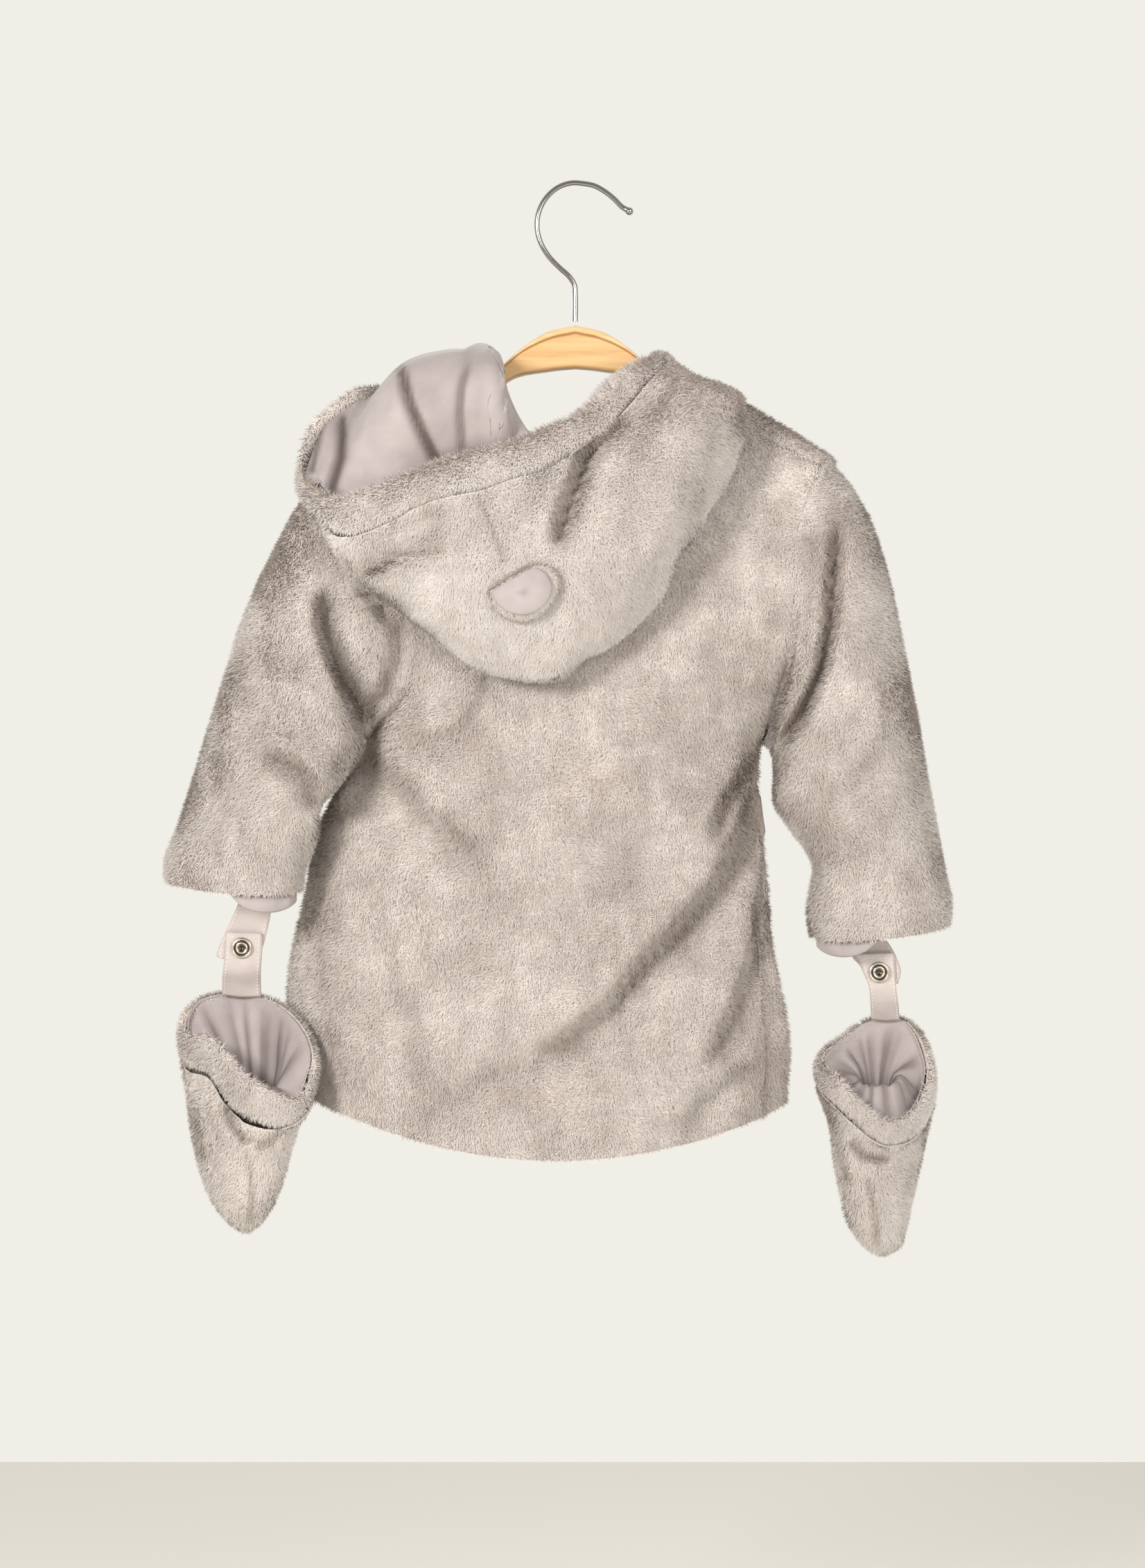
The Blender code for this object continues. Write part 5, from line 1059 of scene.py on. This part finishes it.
def lining_look(name, colour, shadow):
    """Smooth woven cloth: fine diagonal weave, faint creases, soft blotches of painted shade and a soft
    sheen.
    """
    look = Look(name, 0.62, sheen=0.2)
    weave = []
    for turn in (0.7, -0.87):
        vector = look.add("ShaderNodeMapping", Vector=look.place, Rotation=(0, turn, 0))
        wave = look.add("ShaderNodeTexWave", Vector=vector.outputs[0], Scale=330.0, Distortion=0.6,
                        Detail=1.0)
        weave.append(wave.outputs["Fac"])
    woven = look.math("MULTIPLY", weave[0], weave[1])
    crumple = look.noise(75, 4, 0.6)
    # soft blotches painted towards the shadow colour, and the weave's threads a little too: painted shade
    tone = look.ramp(look.noise(35, 3), (0.3, shadow), (0.62, colour))
    tone = look.mix(look.math("MULTIPLY", woven, 0.10), tone, shadow)
    # painted shade in creases
    tone = look.with_crease_shade(tone, (0.32, 0.27, 0.25))
    height = look.math("ADD", look.math("MULTIPLY", woven, 0.10), crumple)
    return look.finish(tone, height, 0.9 * MM, 0.55)


def wood_look():
    """Varnished pale wood: long grain along the arch, a lighter border and a groove inside it painted dark as
    painted shade.
    """
    look = Look("hanger_wood", 0.36)
    grain = look.noise(60, 5, 0.62, stretch=(0.22, 1.0, 2.6))
    fine = look.noise(420, 3, 0.5, stretch=(0.12, 1.0, 3.0))
    colour = look.ramp(grain, (0.30, (0.66, 0.38, 0.15)), (0.52, (0.82, 0.52, 0.235)),
                       (0.75, (0.90, 0.64, 0.33)))
    colour = look.mix(look.math("MULTIPLY", fine, 0.30), colour, (0.50, 0.27, 0.10))
    # the groove painted dark as painted shade; the border painted lighter
    edge = look.ramp(look.attribute("border_and_groove_shade"), (0.0, (0.45, 0.34, 0.24)), (0.5, (1.0, 1.0, 1.0)),
                     (1.0, (1.12, 1.2, 1.35)))
    colour = look.mix(1.0, colour, edge, "MULTIPLY")
    worn = look.ramp(look.noise(28, 3), (0.60, (1.0, 1.0, 1.0)), (0.78, (0.70, 0.62, 0.54)))
    colour = look.mix(1.0, colour, worn, "MULTIPLY")
    look.shader.inputs["Coat Weight"].default_value = 0.35
    look.shader.inputs["Coat Roughness"].default_value = 0.18
    return look.finish(colour, fine, 0.15 * MM, 0.5)


def metal_look(name, colour, roughness, grooved=False):
    """Faintly worn bright metal, dark in its grooves."""
    look = Look(name, roughness, metallic=1.0)
    worn = look.noise(160, 4)
    tone = look.mix(look.math("MULTIPLY", worn, 0.25), colour, tuple(0.72 * c for c in colour))
    if grooved:
        tone = look.mix(look.attribute("groove"), tone, (0.06, 0.05, 0.04))
    rough = look.math("ADD", look.math("MULTIPLY", look.noise(500, 3), 0.14), roughness - 0.05)
    look.set(look.shader, Roughness=rough)
    return look.finish(tone, look.noise(900, 2), 0.02 * MM, 0.3)


def thread_look():
    """Pale twisted thread."""
    look = Look("thread", 0.8, sheen=0.2)
    colour = look.ramp(look.noise(2500, 2), (0.3, (0.80, 0.75, 0.70)), (0.7, (0.92, 0.89, 0.85)))
    return look.finish(colour, look.noise(4000, 2), 0.1 * MM, 0.6)


def floor_look():
    """A pale, nearly even floor."""
    look = Look("floor", 0.9)
    colour = look.ramp(look.noise(1.2, 2), (0.3, (0.86, 0.845, 0.80)), (0.7, (0.88, 0.865, 0.82)))
    return look.finish(colour, look.noise(60, 3), 0.2 * MM, 0.2)


# Ends of each plush's nap patches: its own colour with painted shade at the dark end and painted sheen at the
# light end
PLUSH_NAP_SHADE, PLUSH_NAP_SHEEN = (0.60, 0.535, 0.49), (0.88, 0.825, 0.78)
PALE_NAP_SHADE, PALE_NAP_SHEEN = (0.77, 0.70, 0.65), (0.94, 0.885, 0.84)
FUR = plush_look("plush_pile", PLUSH_NAP_SHADE, PLUSH_NAP_SHEEN)
PALE_FUR = plush_look("pale_plush_pile", PALE_NAP_SHADE, PALE_NAP_SHEEN)
PLUSH_CLOTH = plush_look("plush_cloth", PLUSH_NAP_SHADE, PLUSH_NAP_SHEEN, tufts=False)
PALE_CLOTH = plush_look("pale_plush_cloth", PALE_NAP_SHADE, PALE_NAP_SHEEN, tufts=False)
PALE = (PALE_CLOTH, PALE_FUR)
SMOOTH = lining_look("lining", (0.45, 0.40, 0.392), (0.36, 0.31, 0.305))
STRAP = lining_look("strap_cloth", (0.61, 0.545, 0.515), (0.52, 0.46, 0.435))
WOOD = wood_look()
CHROME = metal_look("hook_chrome", (0.36, 0.35, 0.34), 0.16)
SNAP = metal_look("snap_metal", (0.74, 0.69, 0.58), 0.25, grooved=True)
DARK_METAL = metal_look("snap_back_metal", (0.60, 0.57, 0.50), 0.35)
THREAD = thread_look()


# ---- the coat --------------------------------------------------------------------------------

def bend(sheets, back_folds, front_folds):
    """Move the sheets' points along Y by their folds, and return how much painted shade their creases get."""
    normals, painted_shade = shared_normals(sheets), {}
    for name, points in sheets.items():
        column, row = on_grid(points)
        lines, across = np.indices(points.shape[:2])
        away = {"top": points.shape[0] - 1 - lines, "start": lines, "left": across,
                "right": points.shape[1] - 1 - across}
        loose = np.prod([ease(away[edge] / (HELD_CELLS * FINER)) for edge in HELD_EDGES[name]], axis=0)
        behind, ahead = facing(normals[name]) * loose, facing(normals[name], 1) * loose
        points[..., 1] -= behind * fold_height(back_folds, column, row)
        points[..., 1] += ahead * fold_height(front_folds, column, row)
        painted_shade[name] = behind * crease_shade(back_folds, column, row) + ahead * crease_shade(front_folds, column, row)
    return painted_shade


def make_coat():
    """The body's panels, the sleeves and the linings at their cuffs."""
    back, left, right = back_sheet(), front_sheet("left"), front_sheet("right")
    sheets = {
        "back": place(back),
        "front_left": place(left)[:, ::-1],
        "front_right": place(right),
        "sleeve_left": place(sleeve_sheet(SLEEVE_LEFT, back[BODY_LOW_ROWS:, 0], left[BODY_LOW_ROWS:, 0],
                                          CUFF_DIP[0]))[:, ::-1],
        "sleeve_right": place(sleeve_sheet(SLEEVE_RIGHT, back[BODY_LOW_ROWS:, -1], right[BODY_LOW_ROWS:, 0],
                                           CUFF_DIP[1])),
    }
    sheets = {name: finer(points) for name, points in sheets.items()}
    painted_shade = bend(sheets, BACK_FOLDS + SLEEVE_FOLDS, FRONT_FOLDS + SLEEVE_BACK_FOLDS)
    normals = shared_normals(sheets)
    for seed, (name, points) in enumerate(sheets.items()):
        tube = name.startswith("sleeve")
        plush(name, name, points, normals[name], (PLUSH_CLOTH, FUR), BODY_SEED + 10 * seed, "hung", ring=tube,
              weight=0.5 + 0.5 * in_sight(normals[name], 2, 0.6), painted_shade=painted_shade[name])
        if tube:
            make_cuff_lining(name.removeprefix("sleeve_"), points, normals[name])


def make_cuff_lining(side, sleeve, normals):
    """The sleeve's lining, which hangs out of the cuff in soft gathers on its inner side."""
    middle, half, rows = CUFF_BULGE[side]
    part = slice(-1 - 2 * FINER, None)
    outer = sleeve[part] - (PLUSH + GAP) * normals[part]
    column, _ = on_grid(outer[-1])
    near = normals[-1, :, 1] < 0.2
    bulge = np.sqrt(np.clip(1 - ((column - middle) / half) ** 2, 0, 1)) * near
    steps = np.linspace(0, 1, CUFF_RINGS + 1)[1:]
    hang = np.repeat(outer[-1:], CUFF_RINGS, axis=0)
    hang[..., 2] -= np.outer(steps, rows * bulge) * STEP
    belly = np.outer(np.sin(math.pi * steps * 0.8), bulge) * 2.5 * MM
    hang[..., 1] -= belly
    gather = np.cos(column / 5.5 + 2 * np.sin(column / 17)) * bulge
    hang[..., 1] -= np.outer(1 - steps ** 2, 0.9 * MM * gather)
    outer = np.concatenate([outer, hang])
    way = outer[:, :-1].mean(axis=1)[:, None] - outer
    inner = outer + THIN * way / np.linalg.norm(way, axis=-1, keepdims=True)
    made = shell("cuff_cloth_" + side, outer, inner, SMOOTH, ["cuff_lining_" + side], ring=True)


def make_hood():
    """The hood's panels, its lining, rolled band and ear."""
    points = finer(place(hood_sheet())[:, ::-1])
    column, row = on_grid(points)
    behind = facing(shared_normals({"hood": points})["hood"])
    points[..., 1] -= behind * fold_height(HOOD_FOLDS, column, row)
    # painted shade in the hood's creases
    painted_shade = np.clip(behind * 1.3 * crease_shade(HOOD_FOLDS, column, row), 0, 1)
    normals = shared_normals({"hood": points})["hood"]
    across = points.shape[1] - 1
    seam = across - SEAM_SECTION * across // (len(HOOD) - 1)
    seam_row = SEAM_ROW * FINER
    panels = {"hood_side_right": np.s_[:, :seam + 1], "hood_gusset": np.s_[:seam_row + 1, seam:],
              "hood_side_left": np.s_[seam_row:, seam:]}
    for seed, (name, panel) in enumerate(panels.items()):
        plush(name, name, points[panel], normals[panel], PALE, HOOD_SEED + 10 * seed, "draped",
              fall=HOOD_FALL[name], weight=0.12 + in_sight(normals[panel], 2, 0.4), painted_shade=painted_shade[panel])
    make_hood_lining(points, normals)
    make_band()
    make_ear(points)


def make_hood_lining(points, normals):
    """The lining inside the hood, with the creases that show at its top left."""
    lined = np.s_[LINED_ROW * FINER:, LINED_FIRST * FINER:]
    points, normals = finer(points[lined], 2), finer(normals[lined], 2)
    across = np.arange(points.shape[1]) / (2 * FINER)
    low = ease((normals[..., 1] - 0.2) / 0.4) * ease((across - 2) / 4)
    outer = points - (LINING_SUNK + LINING_ROOM * low)[..., None] * normals
    column, row = on_grid(outer)
    inside = np.clip(FACING * normals[..., 1] + 0.4, 0, 1)
    outer[..., 1] -= inside * (0.4 + 0.6 * low) * fold_height(LINING_FOLDS, column, row)
    # painted shade in the lining's creases
    painted_shade = np.clip(inside * 2.2 * crease_shade(LINING_FOLDS, column, row), 0, 1)
    made = shell("hood_lining_cloth", outer, outer - THIN * normals, SMOOTH, ["hood_lining"],
                 painted_shade=painted_shade)


def make_band():
    """The rolled rim of the hood."""
    tops, bottoms, at = even_pairs([pair[:2] for pair in BAND], 3 * BAND_CELLS)
    thick = np.interp(at, range(len(BAND)), [pair[2] * MM for pair in BAND])
    loops, _, _ = roll_loops(place(tops), place(bottoms), thick, 24)
    loops = narrowed(loops, (0.2, 0.5, 0.75, 0.9, 0.97))
    points = ringed(loops)
    normals = ring_normals(points)
    plush("hood_band", "hood_band", points, normals, PALE, BAND_SEED, "draped", ring=True, deep=1 * MM,
          fall=(0, 0, -0.5), length=1.35 * PILE_LENGTH, weight=0.3 + in_sight(normals, 1.5, 0.6),
          sunk=0.6 * MM)


def pad(outline, levels, tree, cells):
    """The loops of a domed pad on a surface, as a grid whose last column is its first again."""
    outline = spaced(outline, cells)[:-1]
    middle = outline.mean(axis=0)
    return ringed(np.array([laid_on(tree, middle + (outline - middle) * share, lift)
                            for share, lift in levels]))


def make_ear(hood):
    """The ear with its smooth inner disc."""
    points = capped(pad(EAR, resampled(EAR_LOOPS, 18), tree_of(hood), 54))
    normals = ring_normals(points)
    normals[-1] = (0, -1, 0)
    weight = (np.arange(len(points) - 1) > 5)[:, None] * np.ones(points.shape[1] - 1)
    made = plush("ear", "ear", points, normals, PALE, EAR_SEED, ring=True, deep=1.2 * MM,
                 fall=(0.2, 0, -1), length=0.7 * PILE_LENGTH, weight=weight, sunk=1.2 * MM)
    disc = capped(pad(EAR_INNER, resampled(EAR_INNER_LOOPS, 12), tree_of(points), 48))
    disc[..., 1] -= 0.8 * MM
    turned = ring_normals(disc)
    turned[-1] = (0, -1, 0)
    disc[..., 1] -= 0.5 * MM * noise(disc, 9 * MM, 5)
    smooth = cloth("ear_inner_cloth", disc, turned, SMOOTH, ["ear_inner"], ring=True, sunk=0,
                   thick=0.6 * MM)


# ---- mittens ---------------------------------------------------------------------------------

def make_mitten(side):
    """A mitten with its roll and gathered lining, straps and snap."""
    tops, bottoms, _ = even_pairs(MITTEN_ROLLS[side], 2 * MITTEN_CELLS * FINER, closed=True)
    tops, bottoms = place(tops[::-1]), place(bottoms[::-1])
    loops, out, down = roll_loops(tops, bottoms, 0.7 * ROLL_THICK, 20, closed=True)
    points = ringed(loops)
    points = np.concatenate([points, points[:1]])
    normals = shared_normals({"roll": np.concatenate([points[-2:-1], points, points[1:2]])})["roll"][1:-1]
    normals = outward(points, normals, points[:, :-1].mean(axis=1, keepdims=True))
    away = np.concatenate([out, out[:1]])[:-1, None]
    weight = 0.02 + np.clip(0.6 + (normals[:-1, :-1] * away).sum(axis=-1), 0, 1)
    plush("mitten_roll", "mitten_cuff_" + side, points, normals, PALE, ROLL_SEED + len(side), "gathered",
          "_" + side, ring=True, deep=1 * MM, fall=(0, 0, -0.4), length=1.15 * PILE_LENGTH, weight=weight,
          sunk=0.6 * MM)

    rim = (bottoms + ROLL_CLEAR * down)[::-1]
    rim = np.stack([*on_grid(rim), rim[:, 1] / MM], axis=1)
    share = round_share(MITTEN_CELLS * FINER)
    sections = [np.concatenate([rim, rim[:1]])]
    for left, right, behind, ahead, *dips in MITTENS[side]:
        sections.append(section(left, right, share, (-behind, ahead), dips))
    outer = capped(place(lofted(sections, 2 * FINER * MITTEN_ROWS))[:, ::-1])
    column, row = on_grid(outer)
    behind = facing(ring_normals(outer))
    outer[..., 1] -= behind * fold_height(MITTEN_FOLDS[side], column, row)
    # painted shade in the mitten's creases
    painted_shade = np.clip(behind * 2.5 * crease_shade(MITTEN_FOLDS[side], column, row), 0, 1)
    normals = ring_normals(outer)
    normals[-1] = (0, 0, -1)
    plush("mitten", "mitten_" + side, outer, normals, PALE, MITTEN_SEED + len(side), "gathered",
          "_" + side, ring=True, painted_shade=painted_shade)
    make_funnel(side, tops, bottoms, out)
    make_straps(side)
    make_snap(side)


def make_funnel(side, tops, bottoms, out):
    """The lining in the mitten's mouth: over the roll's inner face, then gathered to a narrow neck."""
    start = 0.86 * tops + 0.14 * bottoms - 0.62 * ROLL_THICK * out
    low = 0.25 * tops + 0.75 * bottoms - 0.95 * ROLL_THICK * out
    funnel = [start, low]
    off = start - start.mean(axis=0)
    angle = np.arctan2(off[:, 1], off[:, 0])
    for centre, wide, deep in FUNNELS[side]:
        ring = np.stack([wide * np.cos(angle), deep * np.sin(angle), 0.4 * deep * np.sin(angle)], axis=1)
        funnel.append(place(centre) + MM * ring)
    rows = np.linspace(0, len(funnel) - 1, 8 * FUNNEL_ROWS + 1)
    outer = through(range(len(funnel)), np.array(funnel), rows)
    outer = ringed(outer)
    normals = shared_normals({"funnel": outer})["funnel"]
    turn = np.concatenate([angle, angle[:1]])
    pleat = np.cos(13 * turn + 2.2 * np.sin(3 * turn) + 1.0) + 0.5 * np.cos(29 * turn + 1.5)
    grown = ease((rows - 0.5) / 1.2) * ease((len(funnel) - 1 - rows) / 0.8)
    outer = outer + (PLEAT * np.outer(grown, pleat))[..., None] * normals
    outer = outer + (0.35 * MM * noise(outer, 16 * MM, 9))[..., None] * normals
    # painted shade: darker in the pleats' hollows and further down into the mouth
    painted_shade = np.clip(0.8 * np.outer(grown, 0.25 - 0.6 * pleat), 0, 1) + ease((rows - 1.6) / 2.4)[:, None]
    made = shell("mitten_lining_cloth_" + side, outer, outer - THIN * normals, SMOOTH,
                 ["mitten_lining_" + side], ring=True, painted_shade=np.clip(painted_shade, 0, 1))
    path = outer[np.searchsorted(rows, 1.55)]
    seam = stitches("mitten_gather_thread_" + side, path, *GATHER_STITCH, sway=0.5 * MM)


def stitches(name, path, step, length, radius, sway=0.0):
    """Short threads along a path, each a thin spindle; with sway they slant to and fro."""
    gone = travelled(path)
    at = np.arange(step, gone[-1] - step / 2, step)
    middle = np.stack([np.interp(at, gone, path[:, k]) for k in range(3)], axis=1)
    ahead = np.stack([np.interp(at + step / 3, gone, path[:, k]) for k in range(3)], axis=1)
    way = unit(ahead - middle)
    aside = unit(np.cross(way, (0, -1, 0)), 1e-9)
    sign = np.where(np.arange(len(at)) % 2, 1.0, -1.0)[:, None]
    way = way * length / 2 + aside * sway * sign
    up = np.cross(aside, unit(way))
    loops = []
    for along, size in ((-1, 0.35), (-0.45, 1), (0.45, 1), (1, 0.35)):
        for turn in np.arange(THREAD_SIDES) * 2 * math.pi / THREAD_SIDES:
            out = math.cos(turn) * aside + math.sin(turn) * up
            loops.append(middle + along * way + size * radius * out)
    spots = np.array(loops).transpose(1, 0, 2).reshape(-1, 3)
    one = ring_faces(4, THREAD_SIDES)
    faces = (one[None] + len(loops) * np.arange(len(at))[:, None, None]).reshape(-1, 4)
    return mesh_piece(name, spots, faces, THREAD)


def ribbon(name, table, node, look, sag=0.0):
    """A strap of doubled cloth with stitches near its edges."""
    left, right, _ = even_pairs(table, 30)
    share = np.linspace(0, 1, 13)[:, None]
    points = place(left[:, None] + (right - left)[:, None] * share)[::-1]
    normals = shared_normals({name: points})[name]
    across = np.linspace(-1, 1, 13)
    along = np.linspace(0, 1, 31)[:, None]
    lift = 0.35 * MM * np.cos(3.5 * across) - sag * (1 - across ** 2) * np.sin(math.pi * along)
    points = points + (lift + 0.25 * MM * noise(points, 14 * MM, len(name)))[..., None] * normals
    edge = (0.5 * MM * (np.abs(across) ** 6))[None, :, None]
    points = points - edge * normals
    made = shell(name, points, points - 0.75 * STRAP_THICK * normals, look, [node])
    threads = [stitches(f"{name}_thread_{k}", points[:, column] + 0.15 * MM * normals[:, column], *STITCH)
               for k, column in enumerate((1, -2))]
    end = np.s_[TOP_STITCH, 1:-1]
    threads.append(stitches(f"{name}_thread_end", points[end] + 0.12 * MM * normals[end], *STITCH))


def make_straps(side):
    """The sleeve's strap, which sags a little, and the mitten's."""
    ribbon("sleeve_strap_cloth_" + side, SLEEVE_STRAPS[side], "sleeve_strap_" + side, STRAP, 1.0 * MM)
    ribbon("mitten_strap_cloth_" + side, MITTEN_STRAPS[side], "mitten_strap_" + side, STRAP)


def lathe(name, profile, centre, look, node):
    """A round body from rows of radius, height and darkness, turned about the line towards the viewer."""
    turn = np.linspace(0, 2 * math.pi, LATHE_SIDES + 1)
    profile = np.array(profile) * (MM, MM, 1)
    points = np.stack([np.outer(profile[:, 0], np.cos(turn)), -np.outer(profile[:, 1], np.ones(len(turn))),
                       np.outer(profile[:, 0], np.sin(turn))], axis=-1) + centre
    faces = ring_faces(len(profile), LATHE_SIDES)
    thing = mesh_piece(name, points[:, :-1].reshape(-1, 3), faces, look, [node])
    dress(thing, "groove", np.repeat(profile[:, 2], LATHE_SIDES))


def make_snap(side):
    """The ring snap with its nested rims, and its back on the other strap."""
    for name, node, profile, look in (("snap_ring_", "snap_", SNAP_PROFILE, SNAP),
                                      ("snap_stud_", "snap_back_", STUD_PROFILE, DARK_METAL)):
        low, high = (np.array(corner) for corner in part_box(node + side))
        lathe(name + side, profile, (low + high) / 2, look, node + side)


# ---- hanger ----------------------------------------------------------------------------------

def make_hanger():
    """The arched wood with its raised border and groove, and the hook."""
    half = list(zip([(*p, 0) for p in WOOD_TOP], [(*p, 0) for p in WOOD_UNDER[::-1]]))
    tops, bottoms, _ = even_pairs(half, 60)
    top, bottom = (place(np.concatenate([np.column_stack([2 * WOOD_MIDDLE - edge[:0:-1, 0], edge[:0:-1, 1:]]),
                                         edge])) for edge in (tops, bottoms))
    height = np.linalg.norm(top - bottom, axis=1)[:, None]
    angle = np.linspace(0, math.pi, 61)
    loops, tones = [], []
    for side in (-1, 1):
        run = (1 - np.cos(angle)) / 2
        spot = top[:, None] + (bottom - top)[:, None] * run[:, None]
        below = run * height
        off = np.minimum(below, height - below)
        deep = WOOD_THICK / 2 * np.clip(1 - (1 - np.clip(off / WOOD_ROUND, 0, 1)) ** 2, 0, 1) ** 0.5
        tone = np.full(deep.shape, 0.5)
        if side < 0:
            wide = np.clip((height - PLAIN_HEIGHT) / BORDER_FADE, 0, 1)
            groove = np.exp(-((below - BORDER) / GROOVE_WIDE) ** 2) * GROOVE_DEEP
            sunk = FIELD_DEEP * ease((below - BORDER) / (1 * MM)) * ease((height - below) / (3 * MM))
            deep = deep - wide * (groove + sunk)
            # painted shade: the groove is painted dark; the border above it is painted lighter
            shade = np.exp(-((below - BORDER) / (0.6 * MM)) ** 2)
            tone += wide * (0.5 * (below < BORDER - 0.9 * MM) - 0.5 * shade)
        spot[..., 1] += side * deep
        loops.append(spot if side < 0 else spot[:, ::-1][:, 1:])
        tones.append(tone if side < 0 else tone[:, ::-1][:, 1:])
    points = np.concatenate(loops, axis=1)[:, :-1]
    tones = np.concatenate(tones, axis=1)[:, :-1]
    faces = ring_faces(*tones.shape)[:, ::-1]
    wood = mesh_piece("hanger_arch", points.reshape(-1, 3), faces, WOOD, ["hanger_wood"])
    dress(wood, "border_and_groove_shade", tones)
    make_hook()


def make_hook():
    """The hook's bent wire with the ball at its free end."""
    path = place(spaced([(*p, 0) for p in HOOK], 4 * HOOK_CELLS))
    ball = BALL_DIAMETER / 2
    way = (path[0] - path[1]) / np.linalg.norm(path[0] - path[1])
    turn = np.radians(np.linspace(2, 130, 18))
    start = int(ball / np.linalg.norm(path[1] - path[0])) + 2
    path = np.concatenate([path[0] + way * (ball * np.cos(turn))[:, None], path[start:]])
    sizes = np.r_[np.maximum(ball * np.sin(turn), 0.2 * WIRE_DIAMETER * (turn > 1)),
                  np.full(len(path) - len(turn), WIRE_DIAMETER / 2)]
    wire = bpy.data.curves.new("hook_wire", "CURVE")
    wire.dimensions, wire.bevel_depth, wire.bevel_resolution = "3D", WIRE_DIAMETER / 2, 5
    wire.use_fill_caps = True
    spline = wire.splines.new("POLY")
    spline.points.add(len(path) - 1)
    for point, spot, size in zip(spline.points, path, sizes):
        point.co = (*spot, 1)
        point.radius = size / (WIRE_DIAMETER / 2)
    wire.materials.append(CHROME)
    hook = linked("hook_wire", wire)
    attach(hook, "root")
    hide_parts("hanger_hook")


# ---- stage -----------------------------------------------------------------------------------

def light(name, spot, goal, size, power, colour):
    """A round soft lamp that looks at its goal."""
    data = bpy.data.lights.new(name, "AREA")
    data.shape, data.size, data.energy, data.color = "DISK", size, power, colour
    lamp = linked(name, data)
    lamp.location = spot
    way = np.subtract(goal, spot)
    lamp.rotation_euler = Vector(way).to_track_quat("-Z", "Y").to_euler()


def make_stage():
    """Floor, soft light, pale surroundings and the camera at the photo's angle."""
    scene = bpy.context.scene
    size, ahead, low = 2.5, 1.2, -0.95
    floor = bpy.data.meshes.new("floor")
    corners = [(-size, -size, low), (size, -size, low), (size, ahead, low), (-size, ahead, low)]
    floor.from_pydata(corners, [], [(0, 1, 2, 3)])
    floor.materials.append(floor_look())
    linked("floor", floor)
    world = bpy.data.worlds.new("pale")
    scene.world = world
    world.use_nodes = True
    ground = world.node_tree.nodes["Background"]
    nodes, links = world.node_tree.nodes, world.node_tree.links
    parts = nodes.new("ShaderNodeSeparateXYZ")
    links.new(nodes.new("ShaderNodeTexCoord").outputs["Generated"], parts.inputs[0])
    fade = nodes.new("ShaderNodeMapRange")
    for socket, value in (("From Min", -0.5), ("From Max", 0.2), ("To Min", WORLD_AHEAD), ("To Max", 1.0)):
        fade.inputs[socket].default_value = value
    links.new(parts.outputs["Y"], fade.inputs["Value"])
    tint = nodes.new("ShaderNodeValToRGB")
    for stop, at, colour in zip(tint.color_ramp.elements, (WORLD_AHEAD, 1.0), (AHEAD_TINT, PAPER)):
        stop.position, stop.color = at, (*colour, 1)
    links.new(fade.outputs[0], tint.inputs[0])
    links.new(tint.outputs[0], ground.inputs["Color"])
    links.new(fade.outputs[0], ground.inputs["Strength"])
    goal = (0, 0, -0.33)
    light("key", (-1.1, -1.7, 0.2), goal, 0.55, KEY_POWER, (1.0, 0.97, 0.94))
    light("fill", (1.15, -1.8, 0.25), goal, 1.4, FILL_POWER, (1.0, 0.97, 0.945))
    data = bpy.data.cameras.new("camera")
    data.sensor_width = 36
    data.lens = data.sensor_width * -EYE[1] / (IMAGE_ROWS * STEP)
    data.dof.use_dof = False
    data.clip_end = 20
    camera = linked("camera", data)
    camera.location = EYE
    camera.rotation_euler = (math.pi / 2, 0, 0)
    scene.camera = camera
    scene.view_settings.view_transform = "Standard"


make_coat()
make_hood()
make_mitten("left")
make_mitten("right")
make_hanger()
make_stage()
